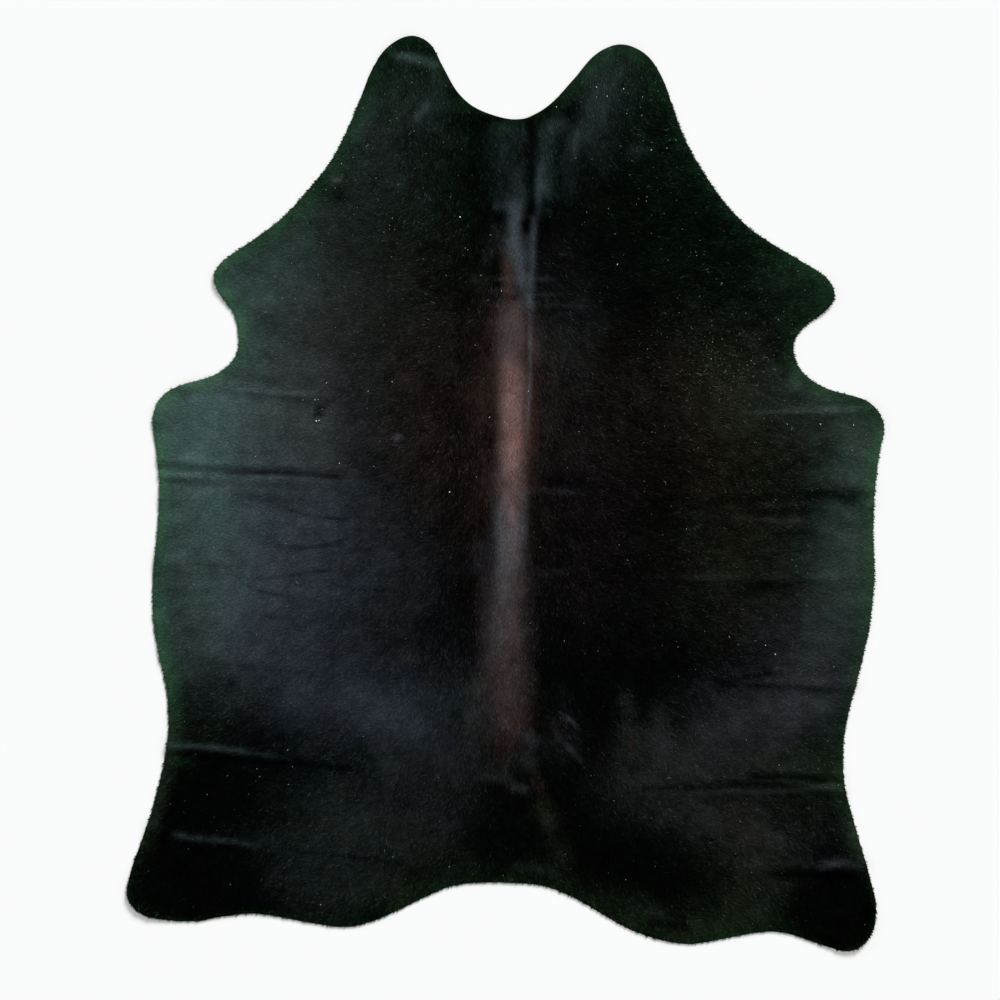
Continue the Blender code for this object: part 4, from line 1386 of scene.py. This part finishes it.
# The order is that of the slots: top, underside, cut edge.
for material in (coat_material("skin under the hair", grain=500.0, change=0.5, shade=0.85, bump=0.6),
                 leather_material("suede underside", SUEDE_TONES, scale=9.0, bump=0.5),
                 leather_material("cut leather edge", EDGE_TONES, scale=60.0, bump=0.3)):
    skin_mesh.materials.append(material)
hair_material = coat_material("short hair", grain=900.0, change=0.4, shade=1.37, bump=0.3)
print("the skin's materials are", [material.name for material in skin_mesh.materials])

# %% [markdown]
# ## The coat: one lock of hair
#
# Almost two hundred thousand locks cover the hide, so one lock is as plain as a closed shape can
# be: four points, a root, a tip and two sides, and four faces. Its ridge runs from root to tip,
# like a real lock's. It is made one unit long and wide, and the tree below gives it its size.
# It is only a pattern that the tree copies, and is deleted when the coat has grown.

# %% One lock
LOCK_SIDES_AT = 0.35    # the share of its length where a lock is widest
ROOT_DEPTH = -0.3       # its root is below the skin, in shares of its height


def closed_piece(name, points, faces):
    """An object with a closed mesh, whose faces are turned outwards."""
    made = bpy.data.meshes.new(name)
    made.from_pydata(points, [], faces)
    solid = bmesh.new()
    solid.from_mesh(made)
    bmesh.ops.recalc_face_normals(solid, faces=solid.faces)
    solid.to_mesh(made)
    solid.free()
    return put(name, made)


lock_points = [(0, 0, ROOT_DEPTH), (1, 0, 1)]
lock_points += [(LOCK_SIDES_AT, side, ROOT_DEPTH) for side in (0.5, -0.5)]
lock_faces = [(0, 1, 2), (0, 1, 3), (0, 2, 3), (1, 2, 3)]
lock = closed_piece("one lock", lock_points, lock_faces)
print(f"one lock has {len(lock_faces)} faces")

# %% [markdown]
# ## Values for each lock
#
# No two locks are alike. These helpers put the nodes for that in a tree: a random value between
# two limits, a size that varies about its middle, and an attribute of the ground, such as the
# way the hair is combed. Each random value adds its own number to the tree's seed.

# %% Random and named values
def drawn(tree, low, high, seed, add_to_seed):
    """A random value for each point, between low and high."""
    limits = {"Min": low, "Max": high, "Seed": maths(tree, "ADD", seed, add_to_seed)}
    made = add(tree, "FunctionNodeRandomValue", limits, data_type="FLOAT")
    return socket(made, "Value", outgoing=True)


def spread(tree, middle, share, seed, add_to_seed):
    """A value that is up to that share more or less than its middle, at random."""
    change = maths(tree, "MULTIPLY", share, drawn(tree, -1.0, 1.0, seed, add_to_seed))
    return maths(tree, "MULTIPLY", middle, maths(tree, "ADD", change, 1.0))


def named(tree, name, form):
    """The value of an attribute at each point."""
    made = add(tree, "GeometryNodeInputNamedAttribute", {"Name": name}, data_type=form)
    return socket(made, "Attribute", outgoing=True)


# %% [markdown]
# ## The coat: Geometry Nodes
#
# The tree scatters roots over the skin, evenly but not in rows, which is what the Poisson method
# of Distribute Points is for. Each root is turned the way the comb points there, then rolled,
# lifted and swung by a small random amount, and gets one lock. Near the trimmed edge and in a
# crease the locks are shorter.

# %% Tree that grows the coat
ROLL = 1.2              # a lock rolls by up to so many times the swing, to either side
LIFT, DIP = 0.25, 0.10  # its tip rises or sinks by up to so many times the swing

grow_coat, start, end = open_group(
    "grow a coat", "GeometryNodeTree",
    (("Skin", "NodeSocketGeometry", None), ("Lock", "NodeSocketObject", None),
     ("Spacing", "NodeSocketFloat", 0.003), ("Most per m2", "NodeSocketFloat", 250000.0),
     ("Length", "NodeSocketFloat", 0.014), ("Width", "NodeSocketFloat", 0.003),
     ("Height", "NodeSocketFloat", 0.001), ("Spread", "NodeSocketFloat", 0.35),
     ("Swing", "NodeSocketFloat", 0.2), ("Turn", "NodeSocketFloat", 0.2),
     ("Seed", "NodeSocketInt", 1), ("Hair", "NodeSocketMaterial", None)),
    (("Coat", "NodeSocketGeometry", None),))
given = start.outputs
seed = given["Seed"]
roots = add(grow_coat, "GeometryNodeDistributePointsOnFaces", {
    "Mesh": given["Skin"], "Distance Min": given["Spacing"], "Density Max": given["Most per m2"],
    "Density Factor": named(grow_coat, "share", "FLOAT"), "Seed": seed}, distribute_method="POISSON")
combed_way = add(grow_coat, "FunctionNodeAlignRotationToVector", {
    "Vector": named(grow_coat, "comb", "FLOAT_VECTOR")}, axis="X", pivot_axis="Z")

sway = {}
for number, (axis, amount, low, high) in enumerate((
        ("X", "Swing", -ROLL, ROLL), ("Y", "Swing", -LIFT, DIP), ("Z", "Turn", -1.0, 1.0)), start=1):
    by_chance = drawn(grow_coat, low, high, seed, number)
    sway[axis] = maths(grow_coat, "MULTIPLY", given[amount], by_chance)
sway = add(grow_coat, "ShaderNodeCombineXYZ", sway)
turned = add(grow_coat, "FunctionNodeEulerToRotation", {"Euler": sway.outputs["Vector"]})
swayed = add(grow_coat, "FunctionNodeRotateRotation", {
    "Rotation": combed_way.outputs["Rotation"], "Rotate By": turned.outputs["Rotation"]},
    rotation_space="LOCAL")

size = {}
for number, (axis, side) in enumerate((("X", "Length"), ("Y", "Width"), ("Z", "Height")), start=4):
    size[axis] = spread(grow_coat, given[side], given["Spread"], seed, number)
size["X"] = maths(grow_coat, "MULTIPLY", named(grow_coat, "reach", "FLOAT"), size["X"])
size = add(grow_coat, "ShaderNodeCombineXYZ", size)

lock_shape = add(grow_coat, "GeometryNodeObjectInfo", {"Object": given["Lock"]})
placed = add(grow_coat, "GeometryNodeInstanceOnPoints", {
    "Points": roots.outputs["Points"], "Instance": lock_shape.outputs["Geometry"],
    "Rotation": swayed.outputs["Rotation"], "Scale": size.outputs["Vector"]})
real = add(grow_coat, "GeometryNodeRealizeInstances", {"Geometry": placed.outputs["Instances"]})
painted = add(grow_coat, "GeometryNodeSetMaterial", {
    "Geometry": real.outputs["Geometry"], "Material": given["Hair"]})
feed(end, "Coat", painted.outputs["Geometry"])
print(f"the tree {grow_coat.name} has {len(grow_coat.nodes)} nodes")

# %% [markdown]
# ## Running a tree
#
# A tree works as a modifier on a mesh. Its inputs are set by their identifiers, because the
# modifier doesn't know them by name. What it grows is then copied into a plain mesh, which is
# what a model can keep, and the modifier goes.

# %% Running a tree
def run_tree(name, ground, tree, values):
    """Runs the tree on a ground mesh and keeps what it grew as a plain mesh."""
    piece = put(name, ground)
    modifier = piece.modifiers.new(tree.name, "NODES")
    modifier.node_group = tree
    for item in tree.interface.items_tree:
        if item.in_out == "INPUT" and item.name in values:
            modifier[item.identifier] = values[item.name]
    depsgraph = bpy.context.evaluated_depsgraph_get()
    grown = bpy.data.meshes.new_from_object(piece.evaluated_get(depsgraph))
    piece.modifiers.remove(modifier)
    piece.data = grown
    grown.name = name
    return piece


# %% [markdown]
# ## The ground that hair grows on
#
# The tree grows on flat triangles, a copy of the skin's outline without its folds. The ground
# carries three attributes that the tree reads: which way the hair is combed, how far it may
# reach before it passes the cut edge or lies in a crease, and how many pieces grow there.

# %% Flat ground for the tree
LOCK_LENGTH = 0.0145
OVERHANG = 0.0015       # how far hair tips may pass the cut edge
SHORTEST = 0.3          # the shortest reach at the edge, in shares of a lock
PARTED = 0.6            # the share by which locks are shorter in a crease


def flat_ground(name, chosen, share=None):
    """A flat mesh of the chosen triangles, with what the tree reads at each of its points."""
    used, corners = np.unique(chosen, return_inverse=True)
    ground = bpy.data.meshes.new(name)
    at = flat[used]
    ground.from_pydata(np.column_stack([at, np.zeros(len(at))]).tolist(), [],
                       corners.reshape(-1, 3).tolist())
    ways = read(comb, at[:, 0], at[:, 1])
    layer = ground.attributes.new("comb", "FLOAT_VECTOR", "POINT")
    layer.data.foreach_set("vector", np.column_stack([ways, np.zeros(len(at))]).ravel())
    room = read(edge_depth, at[:, 0], at[:, 1]) + OVERHANG
    reach = np.clip(room / LOCK_LENGTH, SHORTEST, 1.0)
    reach *= 1 - PARTED * read(parting, at[:, 0], at[:, 1])
    shares = np.ones(len(at)) if share is None else read(share, at[:, 0], at[:, 1])
    for label, values in (("reach", reach), ("share", shares)):
        layer = ground.attributes.new(label, "FLOAT", "POINT")
        layer.data.foreach_set("value", values)
    return ground


# %% [markdown]
# ## Laying pieces on the skin
#
# What grew flat is lifted afterwards: each of its points goes up by the height of the skin under
# it, which lays the hair neatly over every fold. The piece also gets its flat layout here, which
# is simply its view from above.

# %% Draping
def drape(piece, lift):
    """Lifts the piece onto the skin and gives the places of its points."""
    mesh = piece.data
    at = np.empty(len(mesh.vertices) * 3)
    mesh.vertices.foreach_get("co", at)
    at = at.reshape(-1, 3)
    at[:, 2] += read(top_height, at[:, 0], at[:, 1]) + lift
    mesh.vertices.foreach_set("co", at.ravel())
    mesh.update()
    points, _ = corner_points(mesh)
    low, high = at[:, :2].min(axis=0), at[:, :2].max(axis=0)
    store_layout(mesh, (at[points, :2] - low) / (high - low))
    return at


# %% [markdown]
# ## The coat: four bands
#
# One mesh for the whole coat would be too heavy to handle, so the hide is parted across into
# four bands of equal area, named from the neck back. The triangles are put in order from neck to
# rump, and a running sum of their areas says which band each is in.

# %% Parting the hide in bands
BANDS = ("neck", "shoulders", "belly", "haunches")

corners = flat[triangles]
spans = corners[:, 1:] - corners[:, :1]
areas = np.abs(np.cross(spans[:, 0], spans[:, 1])) / 2
order = np.argsort(-corners[:, :, 1].mean(axis=1), kind="stable")
passed = np.cumsum(areas[order]) / areas.sum() * len(BANDS)
band_of = np.empty(len(triangles), int)
band_of[order] = np.minimum(passed, len(BANDS) - 1).astype(int)
print(f"the skin's top is {areas.sum():.3f} square metres")

# %% [markdown]
# ## The coat: growing it
#
# Each band runs the tree with a seed of its own. Every point of a lock then takes the coat's
# colour at its own place, and that tone varies twice: from lock to lock and once more between
# the points, both by shares of the coat's unrest there, so that black hair varies the most.

# %% Four bands of coat
LOCK_WIDTH = 0.0032
LOCK_HEIGHT = 0.0006
LOCK_SPACING = 0.00280
LOCK_SWING = 0.12       # how far a lock rolls and lifts
LOCK_TURN = 0.75        # how far it leaves the comb
MOST_TRIANGLES = 199000
LOCK_CHANGE = 0.5       # how much one lock differs from the next, in shares of the coat's unrest
POINT_CHANGE = 2.0      # and one point of a lock from the next
GROWTH_SEED = 20
TONE_SEED = 40

lock_values = {"Lock": lock, "Spacing": LOCK_SPACING, "Length": LOCK_LENGTH, "Width": LOCK_WIDTH,
               "Height": LOCK_HEIGHT, "Swing": LOCK_SWING, "Turn": LOCK_TURN, "Hair": hair_material}
coat_pieces = []
for number, band in enumerate(BANDS):
    ground = flat_ground("ground of the " + band, triangles[band_of == number])
    piece = run_tree("coat_" + band, ground, grow_coat, lock_values | {"Seed": GROWTH_SEED + number})
    at = drape(piece, 0.0)
    tones = read(coat, at[:, 0], at[:, 1])
    dice = np.random.default_rng(TONE_SEED + number)
    change = unrest(tones)
    own_tone = dice.normal(size=(len(at) // len(lock_points), 1))
    own_tone = np.repeat(own_tone, len(lock_points), axis=0)
    share = LOCK_CHANGE * change * own_tone + POINT_CHANGE * change * dice.normal(size=own_tone.shape)
    store_colour(piece.data, "coat", tones * np.exp(share - share.std() ** 2 / 2))
    coat_pieces.append(piece)
    print(f"{piece.name} has {len(piece.data.polygons)} triangles")
    assert len(piece.data.polygons) < MOST_TRIANGLES
bpy.data.objects.remove(lock)

# %% [markdown]
# ## Lint: where it lies
#
# A dark hide shows every speck. Flakes of dust and skin a millimetre or two wide lie all over
# it, most of them on the neck and the right ribs. Soft ovals, like those of the washes, say how
# many there are to the square metre.

# %% Density of the lint
LINT_EVERYWHERE = 170
LINT_ZONES = (  # place, flakes per square metre, middle, half length, half width
    ("left cheek", 3000, -259, 938, 105, 140),
    ("right cheek", 3400, 253, 927, 105, 128),
    ("neck, left", 2000, -317, 706, 163, 140),
    ("neck, right", 1500, 369, 740, 128, 128),
    ("left shoulder", 900, -480, 473, 209, 140),
    ("withers, left", 300, -177, 473, 140, 116),
    ("right shoulder", 1100, 544, 473, 209, 140),
    ("right ribs, top", 8000, 502, 324, 121, 93),
    ("right ribs", 1900, 532, 194, 174, 186),
    ("left flank", 450, -713, 101, 163, 279),
    ("right belly", 500, 730, -155, 140, 209),
    ("left hind leg", 200, -666, -644, 209, 140),
    ("right haunch", 200, 544, -667, 256, 209),
)

lint_density = np.full(east.shape, float(LINT_EVERYWHERE))
for place, flakes, *oval in LINT_ZONES:
    part, mask = wash_mask(*oval)
    lint_density[part] += flakes * mask[..., 0]
most = float(lint_density.max())
print(f"the lint is thickest with {most:.0f} flakes to the square metre")

# %% [markdown]
# ## Lint: one flake and one fibre
#
# A flake is a flat lump with five uneven corners, and a fibre a bent three-sided thread. Both
# are closed and as plain as the lock is, one unit long, for the tree to copy.

# %% Flake and fibre
FLAKE_CORNERS = ((1.0, 0.1), (0.8, -0.1), (1.1, 0.15), (0.7, -0.15), (1.2, 0.0))    # stretch, height
FLAKE_TOP = 0.35
FIBRE_BEND = 7.0        # in widths of the fibre
FIBRE_STEPS = 4

flake_points = [(0.0, 0.0, FLAKE_TOP), (0.0, 0.0, -FLAKE_TOP)]
flake_faces = []
for side, (stretch, height) in enumerate(FLAKE_CORNERS):
    angle = side * 2 * math.pi / len(FLAKE_CORNERS)
    flake_points.append((0.5 * math.cos(angle) * stretch, 0.5 * math.sin(angle), height))
    here, there = 2 + side, 2 + (side + 1) % len(FLAKE_CORNERS)
    flake_faces += [(0, here, there), (1, there, here)]
flake = closed_piece("one flake", flake_points, flake_faces)

fibre_points, fibre_faces = [], []
for step in range(FIBRE_STEPS + 1):
    along = step / FIBRE_STEPS
    bend = FIBRE_BEND * math.sin(math.pi * along)
    fibre_points += [(along, bend, 0.7), (along, bend + 0.5, -0.3), (along, bend - 0.5, -0.3)]
for step in range(FIBRE_STEPS):
    for side in range(3):
        here, there = 3 * step + side, 3 * step + (side + 1) % 3
        fibre_faces.append((here, there, there + 3, here + 3))
fibre_faces += [(0, 1, 2), tuple(3 * FIBRE_STEPS + side for side in range(3))]
fibre = closed_piece("one fibre", fibre_points, fibre_faces)
print(f"a flake has {len(flake_faces)} faces and a fibre {len(fibre_faces)}")

# %% [markdown]
# ## Lint: scattering it
#
# The tree that grew the coat scatters the lint too. Its turn is half a circle to either side, so
# that the specks lie in all directions, and its share follows the density. Only one speck in
# thirty or so is a fibre. A speck is as pale as household dust, each one a little different.

# %% Scattered lint
FIBRE_SHARE = 0.03      # fibres for each flake
FLAKE_SIZE = (0.0014, 0.0014 * 0.7, 0.0014 * 0.5)       # length, width, height
FIBRE_SIZE = (0.0070, 0.00035, 0.0003)
LINT_SPACING = 0.0015
LINT_SPREAD = 0.75
FLAKE_SWING = 0.8
LINT_LIFT = 0.0010      # it lies on the locks
LINT_TONE = np.array((0.30, 0.32, 0.31))
LINT_CHANGE = 0.6
PALEST_LINT = 0.85
LINT_SEED = 60
LINT_TONE_SEED = 70

lint_material, tree, shader = plain_material("lint", roughness=0.9, specular=0.05)
feed(shader, "Base Color", own_colour(tree))

lint_pieces = []
ground = flat_ground("ground of the lint", triangles, lint_density / most)
for name, pattern, points_each, per_m2, size, swing in (
        ("lint_flakes", flake, len(flake_points), most, FLAKE_SIZE, FLAKE_SWING),
        ("lint_fibres", fibre, len(fibre_points), most * FIBRE_SHARE, FIBRE_SIZE, 0.0)):
    piece = run_tree(name, ground.copy(), grow_coat, {
        "Lock": pattern, "Spacing": LINT_SPACING, "Most per m2": per_m2, "Length": size[0],
        "Width": size[1], "Height": size[2], "Spread": LINT_SPREAD, "Swing": swing,
        "Turn": math.pi, "Seed": LINT_SEED + points_each, "Hair": lint_material})
    parts = len(drape(piece, LINT_LIFT)) // points_each
    dice = np.random.default_rng(LINT_TONE_SEED + points_each)
    tones = LINT_TONE * np.exp(LINT_CHANGE * dice.normal(size=(parts, 1)))
    store_colour(piece.data, "coat", np.repeat(np.minimum(tones, PALEST_LINT), points_each, axis=0))
    lint_pieces.append(piece)
    print(f"{piece.name} has {parts} parts")

# %% [markdown]
# ## Lint: the flakes that stand out
#
# A few larger flakes catch the eye, some of them on the scar, and those have places of their
# own. Each is a pair, a flake and one half its size beside it, so that it looks like a tuft. All
# of them together are one small mesh, made without a tree.

# %% Tufts
TUFT_TONE = np.array((0.80, 0.81, 0.78))
TUFT_PAIR = ((1.0, 0.0), (0.5, 0.4))    # share of the size, and how far it may lie from the place
TUFT_LIFT = 0.0015
TUFT_SEED = 80
TUFTS = (       # x, y and size of the flakes that stand out
    (-133, 3, 4.2), (-40, 177, 2.9), (-70, 38, 2.0), (730, 161, 3.0), (807, 159, 3.4),
    (653, 161, 2.0), (-696, -700, 1.8), (-498, -635, 1.7), (209, 945, 3.0), (234, 924, 3.0),
    (272, 941, 3.4), (316, 922, 2.4), (116, 899, 2.9), (337, 799, 3.0), (318, 820, 2.0),
    (265, 808, 1.7), (-108, 643, 4.0), (258, 533, 3.2), (518, -334, 1.8), (539, -351, 1.2),
    (602, -353, 2.4), (625, -374, 3.0), (262, -120, 1.7), (281, -155, 1.4), (-389, 70, 3.0),
    (186, 654, 1.6), (51, 238, 2.2), (-38, 601, 1.9), (-96, 571, 1.6), (-101, 554, 1.2),
    (-12, 471, 2.6), (-73, 345, 1.7), (-445, 218, 2.6), (-438, 218, 2.4), (-443, 169, 3.6),
    (-436, 170, 3.2), (-473, 217, 1.8), (-419, 257, 2.2), (-322, 238, 2.0), (-266, 260, 2.4),
    (-429, 196, 1.8),
)

dice = np.random.default_rng(TUFT_SEED)
tuft_points, tuft_faces, tuft_tones = [], [], []
for x, y, size in TUFTS:
    place = np.array((x, y)) / PER_METRE + SPINE
    size = size / PER_METRE
    for share, stray in TUFT_PAIR:
        turn = dice.uniform(0, 2 * math.pi)
        across = size * dice.uniform(0.7, 1.0) * share
        place = place + size * stray * dice.uniform(-1.0, 1.0, 2)
        here = len(tuft_points)
        for px, py, pz in flake_points:
            tuft_points.append((place[0] + across * (px * math.cos(turn) - py * math.sin(turn)),
                                place[1] + across * (px * math.sin(turn) + py * math.cos(turn)),
                                across * pz))
        tuft_faces += [tuple(here + corner for corner in face) for face in flake_faces]
        tuft_tones += [TUFT_TONE * dice.uniform(0.8, 1.1)] * len(flake_points)
tufts = closed_piece("lint_tufts", tuft_points, tuft_faces)
tufts.data.materials.append(lint_material)
drape(tufts, TUFT_LIFT)
store_colour(tufts.data, "coat", np.array(tuft_tones))
lint_pieces.append(tufts)
for pattern in (flake, fibre):
    bpy.data.objects.remove(pattern)
print(f"{tufts.name} has {len(TUFTS)} pairs of flakes")

# %% [markdown]
# ## Every piece on the body
#
# All pieces ride on the one body, and the imported model's hide is hidden, so that the skin and
# its coat show in its place.

for piece in [skin] + coat_pieces + lint_pieces:
    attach(piece, BODY)
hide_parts(NODE)
